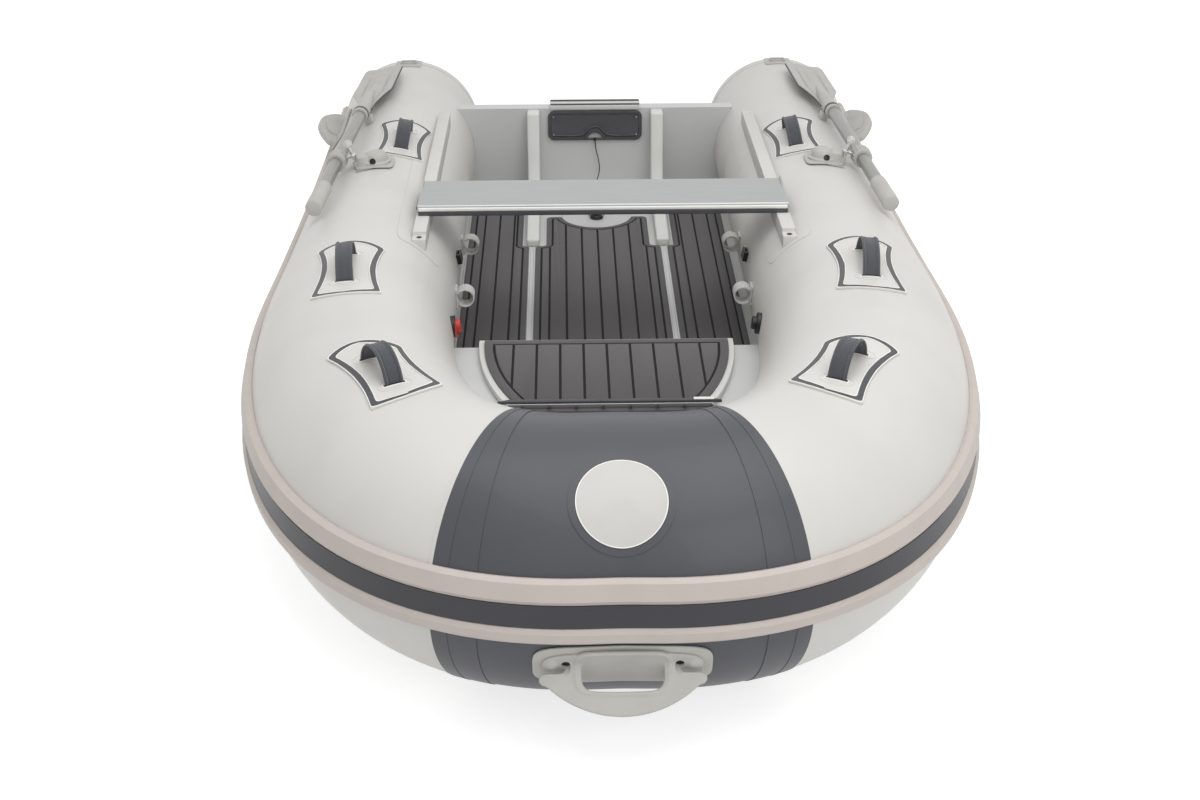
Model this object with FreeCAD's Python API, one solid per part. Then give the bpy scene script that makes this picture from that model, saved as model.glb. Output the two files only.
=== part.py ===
import FreeCAD, Part
import math
import os

# A small rigid inflatable boat, in millimetres. +Z is up, the bow points to -Y, port is +X.
# The origin is on the centreline at the waterline. Reaches run forward from the transom's inner
# face, heights run up from the deck, and arcs run round the tube from its outermost line.

V = FreeCAD.Vector

# Frame
transom_y = 1170.0
deck_z = 110.0
seat_gap = 0.3
overrun = 60.0
ply = 3.0

# Air tubes
centre_x = 616.0
tube_radius = 224.0
bow_swell = 50.0
tube_lift = 140.0
sheer_rise = 129.0
sheer_drop = 93.0
shoulder_reach = 1459.0
bow_reach = 2562.0
stern_run = 290.0
panel_half_width = 253.0
cone_length = 190.0
cone_end_radius = 118.0
cap_radius = 104.0
cap_length = 22.0
cap_round = 8.0

# Shares of the centreline's half breadth and of the nose's length
nose_x_shares = (1.0, 1.0, 0.856, 0.260, 0.0)
nose_y_shares = (0.0, 0.447, 1.080, 1.0, 1.0)

# Rubbing strake, as arcs up from the tube's outermost line
strake_top = 68.0
stripe_top = 18.0
stripe_bottom = -28.0
strake_bottom = -64.0
strake_bow_lift = 30.0
strake_proud = 17.0
stripe_proud = 10.0
strake_bevel = 9.0

# Hull
hull_overlap = 118.0
keel_depth = 262.0
keel_rise = 150.0
chine_depth = 92.0
chine_land = 36.0
chine_rise = 62.0
stem_reach = 2520.0
stem_half = 70.0
keel_half = 14.0
keel_guard_thick = 4.0
eye_reach = 2330.0
eye_rod = 8.0
eye_width = 44.0
eye_drop = 38.0

# Transom, its braces and pads
transom_thick = 46.0
transom_height = 286.0
brace_x = 199.0
brace_width = 40.0
brace_reach = 490.0
brace_top_depth = 52.0
brace_foot = 24.0
brace_knee_reach = 130.0
brace_height = 276.0
motor_pad_half = 152.0
motor_pad_top = 279.0
motor_pad_height = 98.0
motor_pad_thick = 9.0
motor_pad_corner = 22.0
motor_notch = 25.0
outer_pad_height = 220.0
cap_half = 146.0
cap_thick = 11.0
cap_lip = 16.0

# Drain well, plug and its lanyard
well_half = 108.0
well_reach = 338.0
well_thick = 4.0
plug_reach = 250.0
plug_flange = 21.0
plug_flange_thick = 6.0
plug_neck = 10.0
plug_lever_radius = 6.0
plug_lever_length = 54.0
plug_lever_aft = 50.0
plug_lever_side = 13.0
plug_lever_rise = 16.0
lanyard_radius = 1.6
lanyard_lead = 22.0
lanyard_anchor = 5.0

# Deck pads
pad_thick = 6.0
pad_corner = 16.0
deck_front = 1512.0
centre_pad_half = 190.0
centre_pad_narrow = 157.0
centre_pad_notch = 497.0
centre_pad_start = 248.0
side_pad_inner = 212.0
side_pad_outer = 396.0
side_pad_start = 60.0

# Bow deck with its locker
step_reach = 1530.0
step_height = 144.0
step_end = 2290.0
locker_wall = 24.0
locker_floor = 14.0
lid_back = 1524.0
lid_front = 1888.0
lid_back_half = 318.0
lid_mid_half = 296.0
lid_front_half = 240.0
lid_mid_share = 0.55
lid_thick = 14.0
lid_seal = 3.0
lid_margin = 14.0
hinge_radius = 7.0
hinge_half = 238.0
fore_pad_front = 2040.0
fore_pad_half = 190.0

# Bench on its rails
rail_x = 471.0
rail_front = 1372.0
rail_back = 215.0
rail_width = 34.0
rail_rise = 14.0
rail_hole = 5.0
rail_shelf = 34.0
bench_half = 484.0
bench_depth = 214.0
bench_front = 1214.0
bench_thick = 22.0
bench_wall = 2.5
bench_edge = 6.0
shoe_width = 40.0
shoe_height = 6.0
shoe_cheek = 9.0
shoe_cheek_thick = 2.5
shoe_length = 120.0
bench_gap = 0.6

# Lifting straps on their patches: reach, arc, aft width, fore width, length
patch_places = {
    "aft": (560.0, 101.0, 160.0, 140.0, 300.0),
    "mid": (1686.0, 88.0, 168.0, 165.0, 322.0),
    "front": (2296.0, 88.5, 164.0, 170.0, 236.0),
}
patch_side_share = 0.05
patch_aft_share = -0.24
patch_fore_share = -0.12
strap_width = 38.0
strap_foot = 6.0
strap_span_share = 0.60
strap_height = 54.0
strap_thick = 5.0
strap_sink = 1.5

# Carry handles: plate and grip
handle_plate_thick = 8.0
bow_handle_arc = -18.0
bow_handle_half = 170.0
bow_handle_plate = 86.0
bow_grip_half = 155.0
bow_grip_drop = 106.0
bow_grip_bar = 40.0
bow_grip_thick = 22.0
bow_grip_hang = 34.0
quarter_reach = 130.0
quarter_arc = 33.0
quarter_half = 150.0
quarter_plate = 70.0
quarter_grip_half = 134.0
quarter_grip_drop = 74.0
quarter_grip_bar = 22.0
quarter_grip_thick = 20.0
quarter_grip_hang = 6.0
grip_slot_share = 0.50

# Oars and what carries them
oar_x_fore = 757.0
oar_x_aft = 684.0
oar_z = 389.0
oar_fore = 1160.0
oar_aft = -180.0
shaft_radius = 18.0
shaft_wall = 2.0
grip_radius = 22.0
grip_length = 165.0
blade_length = 470.0
blade_root = 30.0
blade_width = 122.0
blade_thick = 8.0
blade_rib = 5.0
pin_reach = 800.0
pin_offset = 47.0
pin_upright = 7.0
pin_radius = 5.0
pin_clear = 0.05
collar_radius = 28.0
collar_length = 50.0
ball_radius = 12.0
fork_thick = 8.0
rowlock_patch = 118.0
rowlock_radius = 32.0
rowlock_height = 30.0
rowlock_arc = 79.0
rowlock_arm = 20.0
rowlock_socket = 7.0
clip_reach = 347.0
clip_wall = 4.0
clip_width = 30.0
clip_gap = 0.6

# Small fittings
badge_radius = 101.0
badge_arc = 50.0
badge_thick = 1.5
stern_patch_reach = -262.0
stern_patch_size = 84.0
stern_ring_rod = 3.5
stern_ring_width = 52.0
stern_ring_length = 30.0
loop_reaches = (900.0, 1300.0)
loop_arc = 176.0
loop_radius = 24.0
loop_wall = 3.0
loop_width = 44.0
valve_reach = 1560.0
valve_arc = 172.0
valve_radius = 27.0
valve_height = 9.0
hook_reach = 1090.0
hook_arc = 168.0
hook_width = 26.0
hook_length = 46.0
hook_height = 12.0

nose_run = bow_reach - shoulder_reach
stern_s = -(stern_run + shoulder_reach) / nose_run
parts = {}


def add(name, shape):
    """Keep one node's solids under its name."""
    parts[name] = shape


def y_at(reach):
    return transom_y - reach


def z_at(height):
    return deck_z + height


def mirrored(shape):
    """The same piece on the other side of the boat."""
    return shape.mirror(V(0, 0, 0), V(1, 0, 0))


def sides(name, shape):
    """A port piece and its starboard twin."""
    add(name + "_port", shape)
    add(name + "_starboard", mirrored(shape))


def pair(name, shape):
    """A port piece and its starboard twin in one node."""
    add(name, Part.makeCompound(shape.Solids + mirrored(shape).Solids))


def box(x0, x1, y0, y1, z0, z1):
    """A box between two corners, its sides given in either order."""
    low = V(min(x0, x1), min(y0, y1), min(z0, z1))
    return Part.makeBox(abs(x1 - x0), abs(y1 - y0), abs(z1 - z0), low)


def prism(points, direction):
    """A polygon pushed along a direction."""
    wire = Part.makePolygon(list(points) + [points[0]])
    return Part.Face(wire).extrude(direction)


def rounded(points, radius):
    """A wire through plan points with every corner rounded."""
    edges = []
    count = len(points)
    ends = []
    for i, corner in enumerate(points):
        before = points[i - 1] - corner
        after = points[(i + 1) % count] - corner
        turn = math.pi - before.getAngle(after)
        cut = min(radius * math.tan(turn / 2), before.Length * 0.45, after.Length * 0.45)
        start = corner + before * (cut / before.Length)
        end = corner + after * (cut / after.Length)
        bulge = cut / math.tan(turn / 2) * (1 / math.cos(turn / 2) - 1)
        bisector = (before.normalize() + after.normalize()).normalize()
        ends.append((start, corner + bisector * bulge, end))
    for i, (start, middle, end) in enumerate(ends):
        edges.append(Part.Arc(start, middle, end).toShape())
        following = ends[(i + 1) % count][0]
        if (following - end).Length > ply / 1000:
            edges.append(Part.LineSegment(end, following).toShape())
    return Part.Wire(edges)


def plate(points, radius, thick):
    """A flat plate with rounded corners, pushed up from its plan."""
    return Part.Face(rounded(points, radius)).extrude(V(0, 0, thick))


# The tubes' centreline runs from the port stern (stern_s) round the bow (1) to starboard
def plan(s):
    """A point of the centreline in plan; s past 1 is on the starboard side."""
    if s > 1:
        x, y = plan(2 - s)
        return -x, y
    if s <= 0:
        return centre_x, y_at(shoulder_reach) - s * nose_run
    x = 0.0
    y = 0.0
    degree = len(nose_x_shares) - 1
    for i, (share_x, share_y) in enumerate(zip(nose_x_shares, nose_y_shares)):
        weight = math.comb(degree, i) * s ** i * (1 - s) ** (degree - i)
        x += weight * share_x
        y += weight * share_y
    return x * centre_x, y_at(shoulder_reach) - y * nose_run


def forward_share(y):
    return min(max((transom_y - y) / bow_reach, 0.0), 1.0)


def centre(s):
    x, y = plan(s)
    share = forward_share(y)
    return V(x, y, z_at(tube_lift + sheer_rise * share ** 2 - sheer_drop * share ** 5))


def radius_at(s):
    return tube_radius + bow_swell * forward_share(plan(s)[1]) ** 3


def directions(s):
    """Outward, upward and along the tube at s."""
    step = 0.001
    along = (centre(s + step) - centre(s - step)).normalize()
    out = V(0, 0, 1).cross(along).normalize()
    return out, along.cross(out), along


def frame_at(s):
    out, up, along = directions(s)
    return FreeCAD.Placement(centre(s), FreeCAD.Rotation(out, up, along, "ZXY"))


def s_of_reach(reach):
    """The port side's s at a reach."""
    if reach <= shoulder_reach:
        return (reach - shoulder_reach) / nose_run
    low = 0.0
    high = 0.98
    for _ in range(50):
        middle = (low + high) / 2
        if plan(middle)[1] > y_at(reach):
            low = middle
        else:
            high = middle
    return low


def s_of_breadth(half):
    """The nose's s where the centreline is half this breadth from the middle."""
    low = 0.3
    high = 1.0
    for _ in range(50):
        middle = (low + high) / 2
        if plan(middle)[0] > half:
            low = middle
        else:
            high = middle
    return low


def skin_frame(s, degrees, lift=0.0):
    """A placement on the tube: x towards the top or inboard, y aft to fore, z off the tube."""
    out, up, along = directions(s)
    turn = math.radians(degrees)
    normal = out * math.cos(turn) + up * math.sin(turn)
    round_it = up * math.cos(turn) - out * math.sin(turn)
    base = centre(s) + normal * (radius_at(s) + lift)
    return FreeCAD.Placement(base, FreeCAD.Rotation(round_it, along * -1, normal, "ZXY"))


def spread(low, high, count):
    return [low + (high - low) * i / (count - 1) for i in range(count)]


def side_stations(low, high):
    """Stations close enough together that a loft follows the tube."""
    level = spread(low, -shoulder_reach / nose_run, 3)
    straight = level[:-1] + spread(level[-1], 0.0, 9)
    return straight[:-1] + spread(0.0, high, 12)


def ring_loft(stations, extra=0.0):
    """The tube's round body through the stations, fattened by extra."""
    wires = []
    for s in stations:
        circle = Part.Circle()
        circle.Radius = radius_at(s) + extra
        edge = circle.toShape()
        edge.Placement = frame_at(s)
        wires.append(Part.Wire([edge]))
    return Part.makeLoft(wires, True, False)


def band_loft(stations, profile):
    """A band along the tube; profile(s) gives (arc in degrees, lift) corners, seat first and last."""
    wires = []
    for s in stations:
        base = radius_at(s)
        corners = profile(s)
        points = []
        for degrees, lift in corners:
            turn = math.radians(degrees)
            points.append(V((base + lift) * math.cos(turn), (base + lift) * math.sin(turn), 0))
        edges = [Part.LineSegment(a, b).toShape() for a, b in zip(points, points[1:])]
        first = corners[0]
        last = corners[-1]
        turn = math.radians((first[0] + last[0]) / 2)
        middle = V((base + first[1]) * math.cos(turn), (base + first[1]) * math.sin(turn), 0)
        edges.append(Part.Arc(points[-1], middle, points[0]).toShape())
        wire = Part.Wire(edges)
        wire.Placement = frame_at(s)
        wires.append(wire)
    return Part.makeLoft(wires, True, False)


def around(s_low, s_high):
    """The tubes' own stations from one s to another, with one past each end."""
    low = max(i for i, s in enumerate(all_stations) if s <= s_low or i == 0)
    high = min(i for i, s in enumerate(all_stations) if s >= s_high or i == len(all_stations) - 1)
    return all_stations[max(low - 1, 0):high + 2]


def former(s_low, s_high, lift):
    """The tube's own body over a stretch, fattened, to cut a seat with."""
    return ring_loft(around(s_low, s_high), lift)


def straight_former(s, half, lift):
    """A cone as long as a small fitting that matches the tube's body there."""
    along = directions(s)[2]
    span = half / path_speed(s)
    start = centre(s) - along * half
    return Part.makeCone(radius_at(s - span) + lift, radius_at(s + span) + lift, half * 2, start, along)


def skin(s_low, s_high, arc_low, arc_high, low, high):
    """A curved sheet that lies on the tube between two arcs."""
    wires = []
    for s in around(s_low, s_high):
        base = radius_at(s)
        corners = []
        for lift in (low, high):
            row = []
            for degrees in (arc_low, (arc_low + arc_high) / 2, arc_high):
                turn = math.radians(degrees)
                row.append(V((base + lift) * math.cos(turn), (base + lift) * math.sin(turn), 0))
            corners.append(row)
        inner, outer = corners
        edges = [
            Part.Arc(inner[0], inner[1], inner[2]).toShape(),
            Part.LineSegment(inner[2], outer[2]).toShape(),
            Part.Arc(outer[2], outer[1], outer[0]).toShape(),
            Part.LineSegment(outer[0], inner[0]).toShape(),
        ]
        wire = Part.Wire(edges)
        wire.Placement = frame_at(s)
        wires.append(wire)
    return Part.makeLoft(wires, True, False)


panel_s = s_of_breadth(panel_half_width)
all_stations = side_stations(stern_s, panel_s)[:-1] + spread(panel_s, 1.0, 4)
all_stations += [2 - s for s in reversed(all_stations[:-1])]
tube_former = ring_loft(all_stations, seat_gap)


def build_tubes():
    sides("tube", ring_loft(side_stations(stern_s, panel_s)))
    bow = ring_loft(all_stations)
    half = radius_at(1.0) + overrun
    run = panel_half_width * 2 + overrun
    for s, start in ((panel_s, 0), (2 - panel_s, -run)):
        slab = Part.makeBox(half * 2, half * 2, run, V(-half, -half, start))
        slab.Placement = frame_at(s)
        bow = bow.common(slab)
    add("tube_bow", bow)
    end = centre(stern_s)
    aft = directions(stern_s)[2] * -1
    sides("stern_cone", Part.makeCone(tube_radius, cone_end_radius, cone_length, end, aft))
    cap = Part.makeCylinder(cap_radius, cap_length, end + aft * cone_length, aft)
    rim = [e for e in cap.Edges if e.BoundBox.YMin > end.y + cone_length + cap_length - overrun / 1000]
    pair("stern_caps", cap.makeFillet(cap_round, [e for e in rim if e.Length > cap_radius]))


def strake_arcs(s, arc):
    """Degrees of an arc length on the tube at s, lifted towards the bow."""
    lifted = arc + strake_bow_lift * forward_share(plan(s)[1]) ** 2
    return math.degrees(lifted / radius_at(s))


def build_strakes():
    """Two light bands with a dark stripe between them, round the whole boat."""
    bands = {
        "strake_upper": (stripe_top, strake_top, strake_proud, strake_bevel),
        "strake_stripe": (stripe_bottom, stripe_top, stripe_proud, 0.0),
        "strake_lower": (strake_bottom, stripe_bottom, strake_proud, strake_bevel),
    }
    for name, (low, high, proud, bevel) in bands.items():
        def profile(s, low=low, high=high, proud=proud, bevel=bevel):
            bottom = strake_arcs(s, low + seat_gap / 2)
            top = strake_arcs(s, high - seat_gap / 2)
            corners = [(bottom, seat_gap)]
            if bevel:
                inset = math.degrees(bevel / radius_at(s))
                corners.append((bottom, proud - bevel))
                corners.append((bottom + inset, proud))
                corners.append((top - inset, proud))
                corners.append((top, proud - bevel))
            else:
                corners.append((bottom, proud))
                corners.append((top, proud))
            corners.append((top, seat_gap))
            return corners
        add(name, band_loft(all_stations, profile))


def hull_half(reach):
    """The hull's half breadth under the tubes."""
    if reach > stem_reach - seat_gap:
        return stem_half
    x = plan(s_of_reach(min(reach, bow_reach - overrun)))[0]
    return max(x - hull_overlap * min(1.0, x / centre_x), stem_half)


def keel_drop(reach):
    share = max(0.0, (reach - bow_reach * 0.35) / (stem_reach - bow_reach * 0.35))
    return keel_depth - keel_rise * share ** 2.2


def build_hull():
    """A solid vee hull with a flat deck, shaped to sit under the tubes."""
    wires = []
    for share in (0.0, 0.2, 0.4, 0.6, 0.74, 0.85, 0.93, 1.0):
        reach = stem_reach * share
        half = hull_half(reach)
        keel = keel_drop(reach)
        chine = min(chine_depth - chine_rise * max(0.0, share - 0.6) ** 2, keel - keel_half)
        land = min(chine_land, half / 3)
        corners = [
            (-keel_half, -keel), (keel_half, -keel), (half - land, -chine - land / 4),
            (half, -chine), (half, 0.0), (-half, 0.0), (-half, -chine),
            (land - half, -chine - land / 4),
        ]
        points = [V(x, y_at(reach), z_at(z)) for x, z in corners]
        wires.append(Part.makePolygon(points + [points[0]]))
    body = Part.makeLoft(wires, True, True)
    body = body.cut(tube_former)
    solids = sorted(body.Solids, key=lambda solid: solid.Volume)
    add("hull", solids[-1])
    guard = []
    for share in (0.02, 0.25, 0.5, 0.7, 0.85, 0.95):
        reach = stem_reach * share
        drop = keel_drop(reach)
        points = [
            V(-keel_half, y_at(reach), z_at(-drop)),
            V(keel_half, y_at(reach), z_at(-drop)),
            V(keel_half, y_at(reach), z_at(-drop - keel_guard_thick)),
            V(-keel_half, y_at(reach), z_at(-drop - keel_guard_thick)),
        ]
        guard.append(Part.makePolygon(points + [points[0]]))
    strip = Part.makeLoft(guard, True, True)
    add("keel_guard", strip.cut(solids[-1]))


def build_transom():
    y0 = y_at(0)
    y1 = y0 + transom_thick
    half = hull_half(0)
    points = [
        V(-keel_half, y0, z_at(-keel_depth)), V(keel_half, y0, z_at(-keel_depth)),
        V(half - chine_land, y0, z_at(-chine_depth - chine_land / 4)),
        V(half, y0, z_at(-chine_depth)), V(half, y0, z_at(transom_height)),
        V(-half, y0, z_at(transom_height)), V(-half, y0, z_at(-chine_depth)),
        V(chine_land - half, y0, z_at(-chine_depth - chine_land / 4)),
    ]
    board = prism(points, V(0, transom_thick, 0)).cut(tube_former)
    add("transom", sorted(board.Solids, key=lambda solid: solid.Volume)[-1])
    profile = [
        V(0, y0, z_at(0)), V(0, y_at(brace_reach), z_at(0)),
        V(0, y_at(brace_reach), z_at(brace_foot)),
        V(0, y_at(brace_knee_reach), z_at(brace_foot * 2)),
        V(0, y_at(brace_top_depth + brace_foot), z_at(brace_height / 2)),
        V(0, y_at(brace_top_depth), z_at(brace_height)), V(0, y0, z_at(brace_height)),
    ]
    brace = prism(profile, V(brace_width, 0, 0))
    brace.translate(V(brace_x - brace_width / 2, 0, 0))
    sides("transom_brace", brace)

    low = motor_pad_top - motor_pad_height
    corners = [
        V(-motor_pad_half, y0, z_at(low)), V(motor_pad_half, y0, z_at(low)),
        V(motor_pad_half, y0, z_at(motor_pad_top)), V(-motor_pad_half, y0, z_at(motor_pad_top)),
    ]
    pad = Part.Face(rounded(corners, motor_pad_corner)).extrude(V(0, -motor_pad_thick, 0))
    notch = Part.makeCylinder(motor_notch, motor_pad_thick * 3, V(0, y0 + motor_pad_thick, z_at(low)), V(0, -1, 0))
    add("motor_pad_inner", pad.cut(notch))
    low = motor_pad_top - outer_pad_height
    corners = [
        V(-motor_pad_half, y1, z_at(low)), V(motor_pad_half, y1, z_at(low)),
        V(motor_pad_half, y1, z_at(motor_pad_top)), V(-motor_pad_half, y1, z_at(motor_pad_top)),
    ]
    add("motor_pad_outer", Part.Face(rounded(corners, motor_pad_corner)).extrude(V(0, motor_pad_thick, 0)))
    top = z_at(transom_height)
    cap = box(-cap_half, cap_half, y0 - cap_thick / 2, y1 + cap_thick / 2, top - cap_lip / 4, top + cap_thick)
    cap = cap.cut(box(-cap_half, cap_half, y0, y1, top - cap_lip, top))
    add("transom_cap", cap)


def lanyard_route():
    """The lanyard from the pad's notch down to the plug, as it hangs and lies."""
    start = motor_pad_top - motor_pad_height
    return [
        V(0, y_at(lanyard_anchor * 2), z_at(start - 2)),
        V(2, y_at(15), z_at(start - 30)),
        V(11, y_at(20), z_at(start - 60)),
        V(15, y_at(26), z_at(start - 92)),
        V(8, y_at(38), z_at(start - 122)),
        V(-8, y_at(56), z_at(34)),
        V(-24, y_at(86), z_at(9)),
        V(-31, y_at(120), z_at(8)),
        V(-28, y_at(150), z_at(22)),
    ]


def bent_tube(points, radius):
    """A round tube through points, with an arc as large as its runs allow at each turn."""
    edges = []
    last = points[0]
    for before, corner, after in zip(points, points[1:], points[2:]):
        back = before - corner
        ahead = after - corner
        turn = math.pi - back.getAngle(ahead)
        cut = 0.45 * min(back.Length, ahead.Length)
        bend = cut / math.tan(turn / 2)
        start = corner + back * (cut / back.Length)
        end = corner + ahead * (cut / ahead.Length)
        middle = corner + (back.normalize() + ahead.normalize()).normalize() * bend * (1 / math.cos(turn / 2) - 1)
        edges.append(Part.LineSegment(last, start).toShape())
        edges.append(Part.Arc(start, middle, end).toShape())
        last = end
        print("bend radius", round(bend, 1))
    edges.append(Part.LineSegment(last, points[-1]).toShape())
    path = Part.Wire(edges)
    circle = Part.makeCircle(radius, points[0], points[1] - points[0])
    tube = path.makePipeShell([Part.Wire([circle])], True, True)
    print("cord volume share", round(tube.Volume / (math.pi * radius ** 2 * path.Length), 4), round(path.Length, 1))
    return tube


def build_drain():
    """The well ahead of the transom, the plug with its bail, and the lanyard that keeps it."""
    y0 = y_at(0)
    straight = y_at(well_reach - well_half * 0.8)
    points = [V(-well_half, y0, z_at(0)), V(well_half, y0, z_at(0)), V(well_half, straight, z_at(0))]
    edges = [
        Part.LineSegment(points[0], points[1]).toShape(),
        Part.LineSegment(points[1], points[2]).toShape(),
        Part.Arc(points[2], V(0, y_at(well_reach), z_at(0)), V(-well_half, straight, z_at(0))).toShape(),
        Part.LineSegment(V(-well_half, straight, z_at(0)), points[0]).toShape(),
    ]
    add("drain_well", Part.Face(Part.Wire(edges)).extrude(V(0, 0, well_thick)))
    seat = Part.makeCylinder(plug_flange, plug_flange_thick, V(0, y_at(plug_reach), z_at(well_thick)))
    neck_height = plug_flange_thick + plug_lever_radius * 2
    neck = Part.makeCylinder(plug_neck, neck_height, V(0, y_at(plug_reach), z_at(well_thick)))
    foot = V(0, y_at(plug_reach), z_at(well_thick + neck_height - plug_lever_radius))
    lean = V(-plug_lever_side, plug_lever_aft, plug_lever_rise).normalize()
    lever = Part.makeCylinder(plug_lever_radius, plug_lever_length, foot, lean)
    add("drain_plug", seat.fuse(neck).fuse(lever).removeSplitter())
    tip = foot + lean * plug_lever_length
    route = lanyard_route() + [tip + lean * lanyard_lead, tip]
    add("lanyard", bent_tube(route, lanyard_radius))
    clamp = Part.makeCylinder(lanyard_anchor, lanyard_anchor * 2, route[0], route[0] - route[1])
    shank_z = route[0].z + lanyard_anchor
    shank = Part.makeCylinder(lanyard_anchor - lanyard_radius / 2, lanyard_anchor * 2, V(0, y0, shank_z), V(0, -1, 0))
    add("lanyard_anchor", clamp.fuse(shank).removeSplitter())


def build_deck_pads():
    z = z_at(0)
    half = centre_pad_half
    corners = [
        V(-half, y_at(deck_front), z), V(half, y_at(deck_front), z), V(half, y_at(centre_pad_notch), z),
        V(centre_pad_narrow, y_at(centre_pad_notch), z), V(centre_pad_narrow, y_at(centre_pad_start), z),
        V(-centre_pad_narrow, y_at(centre_pad_start), z), V(-centre_pad_narrow, y_at(centre_pad_notch), z),
        V(-half, y_at(centre_pad_notch), z),
    ]
    centre_pad = plate(corners, pad_corner, pad_thick)
    well = parts["drain_well"].BoundBox
    middle = V(0, y_at(well_reach - well_half), z)
    hole = Part.makeCylinder(well_half + well_thick, pad_thick * 3, middle - V(0, 0, pad_thick))
    hole = hole.fuse(box(well.XMin - well_thick, well.XMax + well_thick, middle.y, y_at(0), z - pad_thick, z + pad_thick * 2))
    add("deck_pad_centre", centre_pad.cut(hole))
    corners = [
        V(side_pad_inner, y_at(deck_front), z), V(side_pad_outer, y_at(deck_front), z),
        V(side_pad_outer, y_at(side_pad_start), z), V(side_pad_inner + brace_width / 2, y_at(side_pad_start), z),
        V(side_pad_inner + brace_width / 2, y_at(centre_pad_notch), z),
        V(side_pad_inner, y_at(centre_pad_notch), z),
    ]
    pad = plate(corners, pad_corner, pad_thick).cut(tube_former)
    sides("deck_pad", sorted(pad.Solids, key=lambda solid: solid.Volume)[-1])


def lid_outline(inset, z):
    """The lid's plan: a straight back edge and sides that curve in to the front."""
    back = y_at(lid_back + inset)
    front = y_at(lid_front - inset)
    middle = y_at(lid_back + (lid_front - lid_back) * lid_mid_share)
    right = [V(lid_back_half - inset, back, z), V(lid_mid_half - inset, middle, z), V(lid_front_half - inset, front, z)]
    left = [V(-p.x, p.y, p.z) for p in right]
    return Part.Wire([
        Part.Arc(right[0], right[1], right[2]).toShape(),
        Part.LineSegment(right[2], left[2]).toShape(),
        Part.Arc(left[2], left[1], left[0]).toShape(),
        Part.LineSegment(left[0], right[0]).toShape(),
    ])


def build_bow_deck():
    """The raised bow deck from tube to tube, hollow under its lid."""
    top = z_at(step_height)
    block = box(-centre_x, centre_x, y_at(step_reach), y_at(step_end), z_at(0), top).cut(tube_former)
    block = sorted(block.Solids, key=lambda solid: solid.Volume)[-1]
    inner = Part.Face(lid_outline(locker_wall, z_at(locker_floor))).extrude(V(0, 0, step_height))
    add("bow_deck", block.cut(inner))
    lid = Part.Face(lid_outline(0, top + lid_seal)).extrude(V(0, 0, lid_thick))
    rest = top + seat_gap
    rim = Part.Face(lid_outline(locker_wall / 4, rest)).extrude(V(0, 0, lid_seal - seat_gap))
    rim = rim.cut(Part.Face(lid_outline(locker_wall * 0.75, rest)).extrude(V(0, 0, lid_seal - seat_gap)))
    hinge_y = y_at(lid_front + hinge_radius + seat_gap)
    hinge_z = top + lid_seal + lid_thick - hinge_radius / 2
    bar = Part.makeCylinder(hinge_radius, hinge_half * 2, V(-hinge_half, hinge_y, hinge_z), V(1, 0, 0))
    block_back = hinge_y - hinge_radius * 3
    foot = box(-hinge_half, hinge_half, hinge_y, block_back, top, hinge_z)
    add("lid_hinge", bar.fuse(foot).removeSplitter())
    add("locker_lid", lid.fuse(rim).removeSplitter())
    pad = Part.Face(lid_outline(lid_margin, top + lid_seal + lid_thick)).extrude(V(0, 0, pad_thick))
    add("lid_pad", pad)
    edge = block_back - seat_gap
    corners = [
        V(-hinge_half, edge, top), V(hinge_half, edge, top),
        V(fore_pad_half, y_at(fore_pad_front), top), V(-fore_pad_half, y_at(fore_pad_front), top),
    ]
    add("fore_pad", plate(corners, pad_corner, pad_thick).cut(tube_former))


def rail_line():
    """Where the rails' undersides run: clear above the tube from end to end."""
    ends = []
    for reach in (rail_back, rail_front):
        s = s_of_reach(reach)
        mid = centre(s)
        across = mid.x - (rail_x + rail_width / 2)
        ends.append(V(rail_x, mid.y, mid.z + math.sqrt(radius_at(s) ** 2 - across ** 2) + ply))
    return ends


def build_rails():
    """Each rail is a long pocket on the tube's inboard shoulder, with a fabric flap outboard."""
    back, front = rail_line()
    run = front - back
    half = rail_width / 2
    section = [V(-half, 0, -overrun * 1.5), V(half, 0, -overrun * 1.5), V(half, 0, rail_rise), V(-half, 0, rail_rise)]
    body = prism([back + p for p in section], run)
    body = body.cut(tube_former)
    body = sorted(body.Solids, key=lambda solid: solid.Volume)[-1]
    low = min(back.z, front.z) - overrun
    shelf_start = front - run * (rail_shelf / run.Length)
    notch = box(rail_x - rail_width, rail_x + rail_width, shelf_start.y, front.y - overrun,
                shelf_start.z + rail_rise / 3, front.z + overrun)
    body = body.cut(notch)
    hole_y = front.y + rail_shelf / 2
    body = body.cut(Part.makeCylinder(rail_hole, overrun * 4, V(rail_x, hole_y, low)))
    sides("seat_rail", sorted(body.Solids, key=lambda solid: solid.Volume)[-1])


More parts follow.
